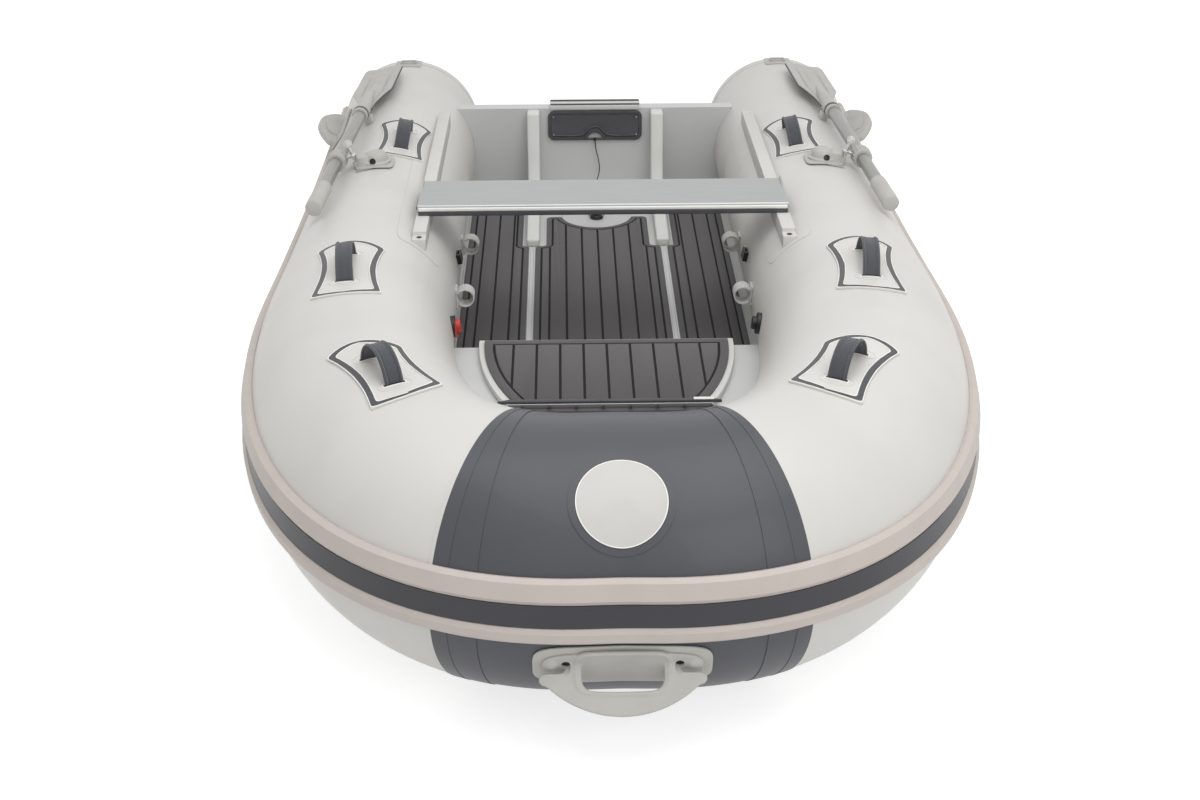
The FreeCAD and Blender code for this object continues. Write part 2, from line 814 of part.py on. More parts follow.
def build_bench():
    """A hollow aluminium plank on two shoes that slide on the rails."""
    back, front = rail_line()
    run = (front - back).normalize()
    up = V(1, 0, 0).cross(run).normalize()
    if up.z < 0:
        up = up * -1
    share = (bench_front - rail_back) / (rail_front - rail_back)
    start = back + (front - back) * share + up * (rail_rise + bench_gap)
    start.x = 0
    aft = run * -1
    turn = FreeCAD.Rotation(V(1, 0, 0), aft, up, "ZXY")
    place = FreeCAD.Placement(start, turn)
    lift = shoe_height
    plank = Part.makeBox(bench_half * 2, bench_depth, bench_thick, V(-bench_half, 0, lift))
    long_edges = [e for e in plank.Edges if e.BoundBox.XLength > bench_half]
    plank = plank.makeFillet(bench_edge, long_edges)
    hollow = Part.makeBox(bench_half * 2, bench_depth - bench_wall * 4, bench_thick - bench_wall * 2,
                          V(-bench_half, bench_wall * 2, lift + bench_wall))
    plank = plank.cut(hollow)
    plank.Placement = place
    add("bench", plank)
    shoes = []
    for side in (-1, 1):
        shoe = Part.makeBox(shoe_width, shoe_length, shoe_height,
                            V(side * rail_x - shoe_width / 2, (bench_depth - shoe_length) / 2, 0))
        inner = rail_x - rail_width / 2 - shoe_cheek_thick
        cheek = Part.makeBox(shoe_cheek_thick, shoe_length, shoe_cheek + shoe_height,
                             V(side * inner - shoe_cheek_thick / 2, (bench_depth - shoe_length) / 2, -shoe_cheek))
        shoe = shoe.fuse(cheek).removeSplitter()
        shoe.Placement = place
        shoes.append(shoe)
    add("bench_shoes", Part.makeCompound(shoes))


def patch_corners(reach, degrees, aft_width, fore_width, length):
    """Corner points of a patch on the tube, in the frame at its middle."""
    s = s_of_reach(reach)
    span = length / 2 / nose_run
    corners = []
    for step, width in ((-1, aft_width), (1, fore_width)):
        at = s + step * span * (1.0 if s <= 0 else nose_run / path_speed(s))
        half = math.degrees(width / 2 / radius_at(at))
        for side in (step, -step):
            frame = skin_frame(at, degrees + side * half)
            corners.append(frame.Base)
    return s, corners


def path_speed(s):
    """How far the centreline runs for a unit of s."""
    step = 0.001
    return (centre(s + step) - centre(s - step)).Length / (2 * step)


def patch_sheet(place, low, high):
    """The curved sheet that a patch is cut from, a little larger than it."""
    reach, degrees, aft_width, fore_width, length = place
    s = s_of_reach(reach)
    arc = math.degrees(max(aft_width, fore_width) / 2 / tube_radius) + 6
    span = (length / 2 + overrun) / path_speed(s)
    return skin(s - span, s + span, degrees - arc, degrees + arc, low, high)


def patch_shape(place):
    """A four-sided patch on the tube, its sides hollow and its aft and fore edges bulged."""
    s, corners = patch_corners(*place)
    frame = skin_frame(s, place[1])
    local = [frame.inverse().multVec(p) for p in corners]
    flat = [V(p.x, p.y, -overrun) for p in local]
    middle = (flat[0] + flat[1] + flat[2] + flat[3]) * 0.25
    edges = []
    shares = (patch_aft_share, patch_side_share, patch_fore_share, patch_side_share)
    for a, b, share in zip(flat, flat[1:] + flat[:1], shares):
        half_way = (a + b) * 0.5
        bow = half_way + (middle - half_way).normalize() * (a - b).Length * share
        edges.append(Part.Arc(a, bow, b).toShape())
    cutter = Part.Face(Part.Wire(edges)).extrude(V(0, 0, overrun * 2))
    cutter.Placement = frame
    return patch_sheet(place, seat_gap, seat_gap + ply).common(cutter)


def strap_shape(place):
    """A webbing strap, both feet on the patch and an arch between them."""
    reach, degrees, _, _, length = place
    frame = skin_frame(s_of_reach(reach), degrees, ply + seat_gap * 2)
    half = length * strap_span_share / 2
    side = arch_wire(half + strap_thick, strap_height + strap_thick, strap_foot, -strap_sink, strap_thick)
    strap = Part.Face(side).extrude(V(strap_width, 0, 0))
    strap.translate(V(-strap_width / 2, 0, 0))
    strap.Placement = frame
    return strap.cut(patch_sheet(place, -ply, ply + seat_gap * 2))


def arch_wire(half, height, foot, base, thick):
    """The side view of an arched strap in the local Y and Z."""
    inner = half - thick
    edges = [
        Part.LineSegment(V(0, -half - foot, base), V(0, -inner, base)),
        Part.Arc(V(0, -inner, base), V(0, 0, height - thick), V(0, inner, base)),
        Part.LineSegment(V(0, inner, base), V(0, half + foot, base)),
        Part.LineSegment(V(0, half + foot, base), V(0, half + foot, base + thick)),
        Part.LineSegment(V(0, half + foot, base + thick), V(0, half, base + thick)),
        Part.Arc(V(0, half, base + thick), V(0, 0, height), V(0, -half, base + thick)),
        Part.LineSegment(V(0, -half, base + thick), V(0, -half - foot, base + thick)),
        Part.LineSegment(V(0, -half - foot, base + thick), V(0, -half - foot, base)),
    ]
    return Part.Wire([edge.toShape() for edge in edges])


def build_straps():
    """Straps and their patches, which stop short of the rowlock."""
    room = rowlock_base(seat_gap, overrun)
    rowlock = parts["rowlock_port"]
    patches = []
    for place in patch_places.values():
        patches += patch_shape(place).cut(room).cut(rowlock).Solids
    straps = [strap_shape(place) for place in patch_places.values()]
    sides("strap_patches", Part.makeCompound(patches))
    sides("straps", Part.makeCompound(straps))


def handle_shape(s, degrees, half, height, grip_half, drop, bar, thick, hang):
    """A moulded handle: a curved plate and a grip bowed out of it, finger gap between."""
    frame = skin_frame(s, degrees)
    margin = math.degrees(height / radius_at(s)) + 8
    span = (half + overrun) / path_speed(s)
    sheet = skin(s - span, s + span, degrees - margin, degrees + margin, seat_gap, handle_plate_thick + seat_gap)
    corners = [
        V(-height / 2, -half, -overrun * 2), V(height / 2, -half, -overrun * 2),
        V(height / 2, half, -overrun * 2), V(-height / 2, half, -overrun * 2),
    ]
    cutter = Part.Face(rounded(corners, height * 0.4)).extrude(V(0, 0, overrun * 3))
    cutter.Placement = frame
    base = sheet.common(cutter)
    # The grip's plan lies in a plane that leans down from the plate
    lean = FreeCAD.Placement(frame.Base, frame.Rotation.multiply(FreeCAD.Rotation(V(0, 1, 0), -hang)))
    loop = grip_face(grip_half, drop, bar)
    grip = loop.extrude(V(0, 0, thick))
    grip.translate(V(0, 0, -thick / 2))
    upright = FreeCAD.Placement(V(0, 0, 0), FreeCAD.Rotation(V(0, 1, 0), -90))
    grip.Placement = lean.multiply(upright)
    seat = former(s - span, s + span, seat_gap + handle_plate_thick / 2)
    return base.fuse(grip.cut(seat))


def grip_face(half, drop, bar):
    """The grip's plan: a bow from end to end with a finger slot in it."""
    root = overrun / 2
    outer = Part.Wire([
        Part.LineSegment(V(-root, -half, 0), V(drop * 0.35, -half, 0)).toShape(),
        Part.Arc(V(drop * 0.35, -half, 0), V(drop, 0, 0), V(drop * 0.35, half, 0)).toShape(),
        Part.LineSegment(V(drop * 0.35, half, 0), V(-root, half, 0)).toShape(),
        Part.LineSegment(V(-root, half, 0), V(-root, -half, 0)).toShape(),
    ])
    inner_half = half * grip_slot_share
    inner_drop = drop - bar
    inner = Part.Wire([
        Part.LineSegment(V(-root * 2, -inner_half, 0), V(inner_drop * 0.5, -inner_half, 0)).toShape(),
        Part.Arc(V(inner_drop * 0.5, -inner_half, 0), V(inner_drop, 0, 0), V(inner_drop * 0.5, inner_half, 0)).toShape(),
        Part.LineSegment(V(inner_drop * 0.5, inner_half, 0), V(-root * 2, inner_half, 0)).toShape(),
        Part.LineSegment(V(-root * 2, inner_half, 0), V(-root * 2, -inner_half, 0)).toShape(),
    ])
    return Part.Face(outer).cut(Part.Face(inner))


def build_handles():
    add("bow_handle", handle_shape(1.0, bow_handle_arc, bow_handle_half, bow_handle_plate, bow_grip_half,
                                   bow_grip_drop, bow_grip_bar, bow_grip_thick, bow_grip_hang))
    sides("quarter_handle", handle_shape(s_of_reach(quarter_reach), quarter_arc, quarter_half, quarter_plate,
                                         quarter_grip_half, quarter_grip_drop, quarter_grip_bar,
                                         quarter_grip_thick, quarter_grip_hang))


def oar_frame():
    """Port oar: origin at the pin on the shaft's line, x outboard, y along the shaft aft, z the pin."""
    fore = V(oar_x_fore, y_at(oar_fore), z_at(oar_z))
    aft = V(oar_x_aft, y_at(oar_aft), z_at(oar_z))
    along = (aft - fore).normalize()
    share = (oar_fore - pin_reach) / (oar_fore - oar_aft)
    at = fore + (aft - fore) * share
    s = s_of_reach(pin_reach)
    away = at - centre(s)
    normal = (away - along * away.dot(along)).normalize()
    normal = FreeCAD.Rotation(along, -pin_upright).multVec(normal)
    out = along.cross(normal).normalize()
    return FreeCAD.Placement(at, FreeCAD.Rotation(out, along, normal, "ZYX"))


def oar_run(reach):
    """How far aft of the pin a reach is along the shaft."""
    length = V(oar_x_fore - oar_x_aft, oar_fore - oar_aft, 0).Length
    return (pin_reach - reach) * length / (oar_fore - oar_aft)


def build_oars():
    frame = oar_frame()
    fore = oar_run(oar_fore)
    aft = oar_run(oar_aft)
    blade_start = aft - blade_length
    shaft = Part.makeCylinder(shaft_radius, blade_start - fore, V(0, fore, 0), V(0, 1, 0))
    shaft = shaft.cut(Part.makeCylinder(shaft_radius - shaft_wall, blade_start - fore, V(0, fore, 0), V(0, 1, 0)))
    grip = Part.makeCylinder(grip_radius, grip_length, V(0, fore - grip_length * 0.15, 0), V(0, 1, 0))
    grip = grip.makeFillet(grip_radius / 4, [e for e in grip.Edges if e.Closed])
    grip = grip.cut(Part.makeCylinder(shaft_radius, grip_length * 2, V(0, fore, 0), V(0, 1, 0)))
    half = blade_width / 2
    neck = shaft_radius + shaft_wall
    points = [
        V(-neck, blade_start, 0), V(-neck * 1.2, blade_start + blade_length * 0.25, 0),
        V(-half, blade_start + blade_length * 0.62, 0), V(-half, aft - half * 0.4, 0),
        V(-half * 0.7, aft, 0), V(half * 0.7, aft, 0), V(half, aft - half * 0.4, 0),
        V(half, blade_start + blade_length * 0.62, 0), V(neck * 1.2, blade_start + blade_length * 0.25, 0),
        V(neck, blade_start, 0),
    ]
    blade = prism([p - V(0, 0, blade_thick / 2) for p in points], V(0, 0, blade_thick))
    rib = Part.makeCylinder(neck, blade_root, V(0, blade_start - blade_root, 0), V(0, 1, 0))
    spine = Part.makeCone(neck, blade_rib, blade_length * 0.55, V(0, blade_start, 0), V(0, 1, 0))
    blade = blade.fuse(rib).fuse(spine)
    blade = blade.cut(Part.makeCylinder(shaft_radius, blade_root, V(0, blade_start - blade_root, 0), V(0, 1, 0)))
    collar = Part.makeCylinder(collar_radius, collar_length, V(0, -collar_length / 2, 0), V(0, 1, 0))
    arm = box(-pin_offset, 0, -fork_thick * 1.5, fork_thick * 1.5, -fork_thick / 2, fork_thick / 2)
    head = Part.makeCylinder(fork_thick * 1.5, fork_thick, V(-pin_offset, 0, -fork_thick / 2))
    lock = collar.fuse(arm).fuse(head)
    lock = lock.cut(Part.makeCylinder(shaft_radius, collar_length * 2, V(0, -collar_length, 0), V(0, 1, 0)))
    pin_low = -collar_radius - rowlock_socket
    pin = Part.makeCylinder(pin_radius, collar_radius * 2 + rowlock_socket, V(-pin_offset, 0, pin_low))
    ball = Part.makeSphere(ball_radius, V(-pin_offset, 0, collar_radius + ball_radius / 2))
    lock = lock.fuse(pin).fuse(ball)
    for name, shape in (("oar_shaft", shaft), ("oar_grip", grip), ("oar_blade", blade), ("oarlock", lock)):
        shape.Placement = frame
        sides(name, shape)
    return frame


def rowlock_base(grow, depth):
    """The block that outlines a rowlock's patch, larger all round by a clearance."""
    half = rowlock_patch / 2 + grow
    corners = [V(-half, -half, -depth), V(half, -half, -depth), V(half, half, -depth), V(-half, half, -depth)]
    block = Part.Face(rounded(corners, half / 2)).extrude(V(0, 0, depth * 2))
    block.Placement = skin_frame(s_of_reach(pin_reach), rowlock_arc)
    return block


def build_rowlocks():
    """A round boss on a square patch, with an arm out to the socket that takes the oarlock's pin."""
    frame = oar_frame()
    s = s_of_reach(pin_reach)
    seat = skin_frame(s, rowlock_arc)
    half = rowlock_patch / 2
    cutter = rowlock_base(0, overrun)
    arc = math.degrees(half / tube_radius) + 4
    span = rowlock_patch / path_speed(s)
    sheet = skin(s - span, s + span, rowlock_arc - arc, rowlock_arc + arc, seat_gap, ply + seat_gap)
    patch = sheet.common(cutter)
    boss = Part.makeCone(rowlock_radius, rowlock_radius * 0.8, rowlock_height + ply, V(0, 0, -ply))
    boss.Placement = seat
    socket_top = frame.multVec(V(-pin_offset, 0, -collar_radius + fork_thick))
    socket_low = frame.multVec(V(-pin_offset, 0, -collar_radius - rowlock_socket))
    direction = socket_top - socket_low
    barrel = Part.makeCylinder(pin_radius * 2, direction.Length, socket_low, direction)
    boss_top = seat.multVec(V(0, 0, rowlock_height / 2))
    arm_end = socket_low + direction * 0.5
    reach = arm_end - boss_top
    arm = Part.makeCylinder(rowlock_arm / 2, reach.Length, boss_top, reach)
    raised = boss.fuse(arm).cut(former(s - span, s + span, seat_gap + ply / 2))
    base = patch.fuse(raised).fuse(barrel.cut(former(s - span, s + span, seat_gap + ply / 2)))
    bore = Part.makeCylinder(pin_radius + pin_clear, direction.Length * 3, socket_low - direction, direction)
    base = base.cut(bore)
    sides("rowlock", sorted(base.Solids, key=lambda solid: solid.Volume)[-1])


def build_clips():
    """A C clip on the tube that holds the shaft; its mouth opens outboard."""
    frame = oar_frame()
    y = oar_run(clip_reach)
    inner = shaft_radius + clip_gap
    outer = inner + clip_wall
    ring = Part.makeCylinder(outer, clip_width, V(0, y - clip_width / 2, 0), V(0, 1, 0))
    ring = ring.cut(Part.makeCylinder(inner, clip_width, V(0, y - clip_width / 2, 0), V(0, 1, 0)))
    mouth = box(0, outer * 2, y - clip_width, y + clip_width, -inner, outer * 2)
    stem = box(-outer, 0, y - clip_width / 2, y + clip_width / 2, -overrun, -inner)
    clip = ring.cut(mouth).fuse(stem)
    clip.Placement = frame
    clip = clip.cut(straight_former(s_of_reach(clip_reach), clip_width * 2, seat_gap))
    clip = sorted(clip.Solids, key=lambda solid: solid.Volume)[-1]
    sides("oar_clip", clip)


def build_fittings():
    frame = skin_frame(1.0, badge_arc)
    cutter = Part.makeCylinder(badge_radius, overrun * 2, V(0, 0, -overrun))
    cutter.Placement = frame
    span = (badge_radius + overrun) / path_speed(1.0)
    arc = math.degrees(badge_radius / radius_at(1.0)) + 6
    sheet = skin(1 - span, 1 + span, badge_arc - arc, badge_arc + arc, seat_gap, badge_thick + seat_gap)
    add("badge", sheet.common(cutter))

    s = s_of_reach(stern_patch_reach)
    frame = skin_frame(s, 90)
    half = stern_patch_size / 2
    corners = [V(-half, -half, -overrun), V(half, -half, -overrun), V(half, half, -overrun), V(-half, half, -overrun)]
    cutter = Part.Face(rounded(corners, half / 3)).extrude(V(0, 0, overrun * 2))
    cutter.Placement = frame
    arc = math.degrees(half / tube_radius) + 4
    span = stern_patch_size / 2 / nose_run
    patch = skin(s - span, s + span, 90 - arc, 90 + arc, seat_gap, ply + seat_gap).common(cutter)
    width = stern_ring_width / 2
    rod = stern_ring_rod
    corners = [V(-width, -stern_ring_length / 2, 0), V(width, -stern_ring_length / 2, 0),
               V(width, stern_ring_length / 2, 0), V(-width, stern_ring_length / 2, 0)]
    outer = Part.Face(rounded(corners, rod * 2)).extrude(V(0, 0, rod))
    inset = [V(p.x * (1 - rod / width), p.y * (1 - 2 * rod / stern_ring_length), 0) for p in corners]
    ring = outer.cut(Part.Face(rounded(inset, rod)).extrude(V(0, 0, rod)))
    ring.Placement = skin_frame(s, 90, ply)
    pair("stern_rings", patch.fuse(ring))

    loops = []
    for reach in loop_reaches:
        s = s_of_reach(reach)
        frame = skin_frame(s, loop_arc)
        hoop = Part.makeCylinder(loop_radius, loop_width, V(0, -loop_width / 2, loop_radius), V(0, 1, 0))
        hoop = hoop.cut(Part.makeCylinder(loop_radius - loop_wall, loop_width, V(0, -loop_width / 2, loop_radius), V(0, 1, 0)))
        foot = box(-loop_radius, loop_radius, -loop_width / 2, loop_width / 2, -loop_wall * 2, loop_wall * 1.5)
        hoop = hoop.fuse(foot)
        hoop.Placement = frame
        loops.append(hoop.cut(straight_former(s, loop_width, seat_gap)))
    pair("side_loops", Part.makeCompound(loops))

    s = s_of_reach(valve_reach)
    frame = skin_frame(s, valve_arc)
    flange = Part.makeCylinder(valve_radius, valve_height + ply, V(0, 0, -ply))
    knob = Part.makeCylinder(valve_radius * 0.6, valve_height * 2.2)
    valve = flange.fuse(knob)
    valve.Placement = frame
    pair("valves", valve.cut(straight_former(s, valve_radius * 2, seat_gap)))

    s = s_of_reach(hook_reach)
    frame = skin_frame(s, hook_arc)
    cleat = box(-hook_width / 2, hook_width / 2, -hook_length / 2, hook_length / 2, -ply, hook_height)
    slot = box(-hook_width, hook_width, -hook_length / 4, hook_length / 4, ply, hook_height * 0.66)
    cleat = cleat.cut(slot)
    cleat.Placement = frame
    pair("line_cleats", cleat.cut(straight_former(s, hook_length, seat_gap)))


def build_bow_eye():
    """A bent rod eye on the stem, for a painter or a winch hook."""
    drop = keel_drop(eye_reach)
    z = z_at(-drop)
    y = y_at(eye_reach)
    torus = Part.makeTorus(eye_width / 2, eye_rod / 2, V(0, y, z - eye_drop / 2), V(1, 0, 0))
    add("bow_eye", torus.cut(parts["hull"]).cut(parts["keel_guard"]))


build_tubes()
build_strakes()
build_hull()
build_transom()
build_drain()
build_deck_pads()
build_bow_deck()
build_rails()
build_bench()
build_rowlocks()
build_straps()
build_handles()
build_oars()
build_clips()
build_fittings()
build_bow_eye()

os.makedirs("parts", exist_ok=True)
for name, shape in parts.items():
    shape.exportStep("parts/" + name + ".step")
    print(name, len(shape.Solids), shape.isValid(), round(shape.Volume / 1e6, 3))
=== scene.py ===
import contextlib
import math

import bmesh
import bpy
from bpy.props import FloatProperty, FloatVectorProperty, IntProperty, PointerProperty
from mathutils import Matrix, Vector
from mathutils.kdtree import KDTree


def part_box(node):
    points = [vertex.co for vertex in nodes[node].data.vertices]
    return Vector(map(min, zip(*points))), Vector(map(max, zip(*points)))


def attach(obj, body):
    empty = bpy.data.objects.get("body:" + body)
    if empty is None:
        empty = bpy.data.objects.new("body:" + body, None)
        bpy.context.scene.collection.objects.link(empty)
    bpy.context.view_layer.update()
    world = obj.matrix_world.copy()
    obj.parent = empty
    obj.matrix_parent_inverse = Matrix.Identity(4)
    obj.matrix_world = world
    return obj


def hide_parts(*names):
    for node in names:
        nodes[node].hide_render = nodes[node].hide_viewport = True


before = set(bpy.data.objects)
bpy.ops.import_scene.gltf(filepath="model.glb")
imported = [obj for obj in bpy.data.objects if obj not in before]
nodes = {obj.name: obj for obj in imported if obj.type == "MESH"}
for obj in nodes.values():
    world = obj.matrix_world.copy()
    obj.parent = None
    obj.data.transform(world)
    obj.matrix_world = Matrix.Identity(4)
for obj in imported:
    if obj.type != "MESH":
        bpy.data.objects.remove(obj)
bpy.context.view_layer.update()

bl_info = {
    "name": "Inflatable Rib Boat",
    "version": (1, 0, 0),
    "blender": (4, 5, 0),
    "location": "View3D > Sidebar > Boat",
    "description": "Dresses the packed boat with its fabrics, foam decking, fittings and oars",
    "category": "Object",
}

SIGNS = {"port": 1, "starboard": -1}


# ---------------------------------------------------------------- the tubes' own line, in metres
TRANSOM_Y = 1.170
DECK_Z = 0.110
HALF_BREADTH = 0.616
SHOULDER = 1.459
BOW = 2.562
NOSE = BOW - SHOULDER
NOSE_X = (1.0, 1.0, 0.856, 0.260, 0.0)
NOSE_Y = (0.0, 0.447, 1.080, 1.0, 1.0)
TUBE_Z, SHEER, SHEER_END = 0.140, 0.129, 0.093
TUBE_RADIUS, BOW_SWELL = 0.224, 0.050
CONE_REACH = -0.290


def plan(s):
    """A point of the tubes' centreline: s is 0 at the port shoulder, 1 at the bow and 2 to starboard."""
    if s > 1:
        x, y = plan(2 - s)
        return -x, y
    if s <= 0:
        return HALF_BREADTH, TRANSOM_Y - SHOULDER - s * NOSE
    weights = [math.comb(4, i) * s ** i * (1 - s) ** (4 - i) for i in range(5)]
    x = sum(w * share for w, share in zip(weights, NOSE_X))
    y = sum(w * share for w, share in zip(weights, NOSE_Y))
    return x * HALF_BREADTH, TRANSOM_Y - SHOULDER - y * NOSE


def forward_share(y):
    return min(max((TRANSOM_Y - y) / BOW, 0.0), 1.0)


def tube_centre(s):
    x, y = plan(s)
    share = forward_share(y)
    return Vector((x, y, DECK_Z + TUBE_Z + SHEER * share ** 2 - SHEER_END * share ** 5))


def tube_radius(s):
    return TUBE_RADIUS + BOW_SWELL * forward_share(plan(s)[1]) ** 3


def along_tube(s):
    return (tube_centre(s + 0.001) - tube_centre(s - 0.001)) / 0.002


def halved(low, high, before):
    """The s up to which before(s) holds."""
    for _ in range(40):
        middle = (low + high) / 2
        low, high = (middle, high) if before(middle) else (low, middle)
    return low


def s_at(reach):
    """The port side's s at a reach forward of the transom."""
    if reach <= SHOULDER:
        return (reach - SHOULDER) / NOSE
    return halved(0.0, 0.98, lambda s: plan(s)[1] > TRANSOM_Y - reach)


def on_tube(s, degrees, lift=0.0):
    """A placement on the tube: x round it, y towards growing s, z off it."""
    along = along_tube(s).normalized()
    out = Vector((0, 0, 1)).cross(along).normalized()
    up = along.cross(out)
    angle = math.radians(degrees)
    off = out * math.cos(angle) + up * math.sin(angle)
    across = up * math.cos(angle) - out * math.sin(angle)
    turned_to = Matrix((across, off.cross(across), off)).transposed().to_4x4()
    return Matrix.Translation(tube_centre(s) + off * (tube_radius(s) + lift)) @ turned_to


PANEL_EDGE = halved(0.3, 1.0, lambda s: plan(s)[0] > 0.253)
OAR_FORE_REACH, OAR_AFT_REACH = 1.160, -0.180
OAR_FORE = Vector((0.757, TRANSOM_Y - OAR_FORE_REACH, DECK_Z + 0.389))
OAR_AFT = Vector((0.684, TRANSOM_Y - OAR_AFT_REACH, DECK_Z + 0.389))
PIN_REACH = 0.800
PIN_UPRIGHT = math.radians(7)
PIN_OFFSET = 0.047
BLADE_START, BLADE_END = 0.466, 0.938
PLUG_FOOT = Vector((0, TRANSOM_Y - 0.250, DECK_Z + 0.016))
PLUG_LEAN = Vector((-0.013, 0.050, 0.016)).normalized()
# Reach, degrees round the tube, aft and fore width and length of each strap patch
PATCHES = {
    "aft": (0.560, 101.0, 0.160, 0.140, 0.300),
    "mid": (1.686, 88.0, 0.168, 0.165, 0.322),
    "front": (2.296, 88.5, 0.164, 0.170, 0.236),
}
# How far each edge of a patch bows towards its middle, and the points along it
PATCH_EDGES = ((-0.24, 44), (0.05, 72), (-0.12, 44), (0.05, 72))
# Degrees round the tube at which the bow's fittings and the rowlocks' pieces sit
BOW_HANDLE_AT, BADGE_AT = -18.0, 50.0
ROWLOCK_SEAT_AT, ROWLOCK_PATCH_AT, ROWLOCK_DOME_AT = 79.0, 86.0, 87.0
QUARTER_REACH, QUARTER_AT = 0.130, 33.0
# Degrees by which the bow handle's bar, the quarter handles' webs and the oars' blades lean
BAR_LEAN, WEB_LEAN, BLADE_LEAN = -34, -6, -8
RAIL_REACH, RAIL_X, RAIL_LENGTH = 0.790, 0.471, 1.22
BENCH_THICK = 0.022
GRIP_END = -0.38525
# X of a pad's first groove and the distance from one to the next
SIDE_GROOVES, FORE_GROOVES = (0.259, 0.046), (-0.015, 0.063)
# Points nearer than this are one, and what is nearer than this to a pad's top or front is on it
MERGED, ON_EDGE = 0.00002, 0.0005
CAMERA_AT = (-0.098, -4.465, 2.153)


def oar_place():
    """Port oar: the pin's point on the shaft, x outboard, y along the shaft aft, z up the pin."""
    along = (OAR_AFT - OAR_FORE).normalized()
    at = OAR_FORE.lerp(OAR_AFT, (OAR_FORE_REACH - PIN_REACH) / (OAR_FORE_REACH - OAR_AFT_REACH))
    away = at - tube_centre(s_at(PIN_REACH))
    off = (away - along * away.dot(along)).normalized()
    off.rotate(Matrix.Rotation(-PIN_UPRIGHT, 3, along))
    return Matrix.Translation(at) @ Matrix((along.cross(off), along, off)).transposed().to_4x4()


# ---------------------------------------------------------------- colours and sizes
def linear(text):
    """A colour written as RRGGBB, as Blender reckons with it."""
    shares = [int(text[i:i + 2], 16) / 255 for i in (0, 2, 4)]
    return tuple(v / 12.92 if v <= 0.04045 else ((v + 0.055) / 1.055) ** 2.4 for v in shares)


def colour_field(name, description, text):
    return FloatVectorProperty(name=name, description=description, subtype="COLOR", size=3,
                               min=0, max=1, default=linear(text))


def size_field(name, description, size):
    return FloatProperty(name=name, description=description, default=size, min=0, unit="LENGTH", precision=4)


class BoatColours(bpy.types.PropertyGroup):
    """Colours of the boat's finishes."""
    tube: colour_field("Tube fabric", "Light coated fabric of the air tubes", "D3D1CD")
    panel: colour_field("Panel fabric", "Dark coated fabric of the bow panel", "45464C")
    strake: colour_field("Strake", "Moulded rubbing strake", "C3BAB3")
    gelcoat: colour_field("Gelcoat", "Hull, transom and deck", "CBCCCB")
    foam: colour_field("Deck foam", "Top of the foam decking", "535052")
    groove: colour_field("Foam groove", "Sheet seen in the decking's grooves", "0C0B0C")
    plastic: colour_field("Light plastic", "Handles, rowlocks and grips", "B9B7B2")
    rubber: colour_field("Dark rubber", "Motor pads, hinge leaf and cap's ribs", "4A4A4E")
    webbing: colour_field("Webbing", "Lifting straps", "484A50")
    bench: colour_field("Bench metal", "Anodised plank", "B0B2B2")
    shaft: colour_field("Shaft metal", "Anodised oar shafts", "A3A29F")


class DeckSizes(bpy.types.PropertyGroup):
    """Sizes of the foam decking."""
    groove: size_field("Groove", "Width of the grooves between planks", 0.0064)
    plank: size_field("Plank", "Distance from groove to groove on the centre pad", 0.049)
    lid_plank: size_field("Lid plank", "Distance from groove to groove on the lid", 0.0577)
    border: size_field("Border", "Width of the plank that runs round a pad", 0.0145)
    lip: size_field("Lip", "Width of the raised lip round a pad", 0.0050)
    lip_gap: size_field("Lip gap", "Gap between a pad and its lip", 0.0012)
    lip_height: size_field("Lip height", "Height of a pad's lip over the deck", 0.0034)
    bevel: size_field("Bevel", "Width of the planks' bevelled edges", 0.0014)


class FabricSizes(bpy.types.PropertyGroup):
    """Sizes of what is welded to the tubes."""
    tape: size_field("Tape", "Width of the panel's edge tape", 0.054)
    outline: size_field("Outline", "Width of the dark outline along the strap patches' sides", 0.0130)
    outline_ends: size_field("Outline ends", "Width of the dark outline across the patches' ends", 0.0084)
    outline_highlight: size_field("Outline highlight", "Width of the painted highlight beside the outline", 0.0022)
    strap_width: size_field("Strap width", "Width of the lifting straps", 0.0405)
    strap_height: size_field("Strap height", "Height of the lifting straps' arches", 0.0560)
    strap_share: FloatProperty(name="Strap share", description="Length of an arch over its patch's length",
                               default=0.60, min=0.1, max=1, subtype="FACTOR")
    ridge: size_field("Ridge", "Height of the ridges along a strap's edges", 0.0024)
    rail_flap: size_field("Rail flap", "Width of the fabric beside a seat rail", 0.055)


class StageSizes(bpy.types.PropertyGroup):
    """Camera, lamps and the oars' ribs."""
    lens: FloatProperty(name="Lens", description="Camera's focal length", default=54.0, min=1, unit="CAMERA")
    softbox: FloatProperty(name="Softbox", description="Power of the lamp overhead", default=86.0, min=0,
                           unit="POWER")
    sky: FloatProperty(name="Sky", description="Strength of the world's even light", default=0.60, min=0)
    ribs: IntProperty(name="Ribs", description="Ribs round an oar's collar", default=18, min=6)


# ---------------------------------------------------------------- materials
class Sock:
    """A socket of a node tree, so that sums on it are written as plain expressions."""

    def __init__(self, shade, socket):
        self.shade = shade
        self.socket = socket

    def sum(self, operation, other):
        return self.shade.node("ShaderNodeMath", {0: self, 1: other}, operation=operation)

    def __add__(self, other):
        return self.sum("ADD", other)

    def __mul__(self, other):
        return self.sum("MULTIPLY", other)

    __radd__ = __add__
    __rmul__ = __mul__

    def part(self, name):
        return Sock(self.shade, self.socket.node.outputs[name])

    def between(self, low, high):
        """0 below low, 1 above high and smooth from one to the other."""
        return self.shade.node("ShaderNodeMapRange", {"Value": self, "From Min": low, "From Max": high},
                               interpolation_type="SMOOTHSTEP")


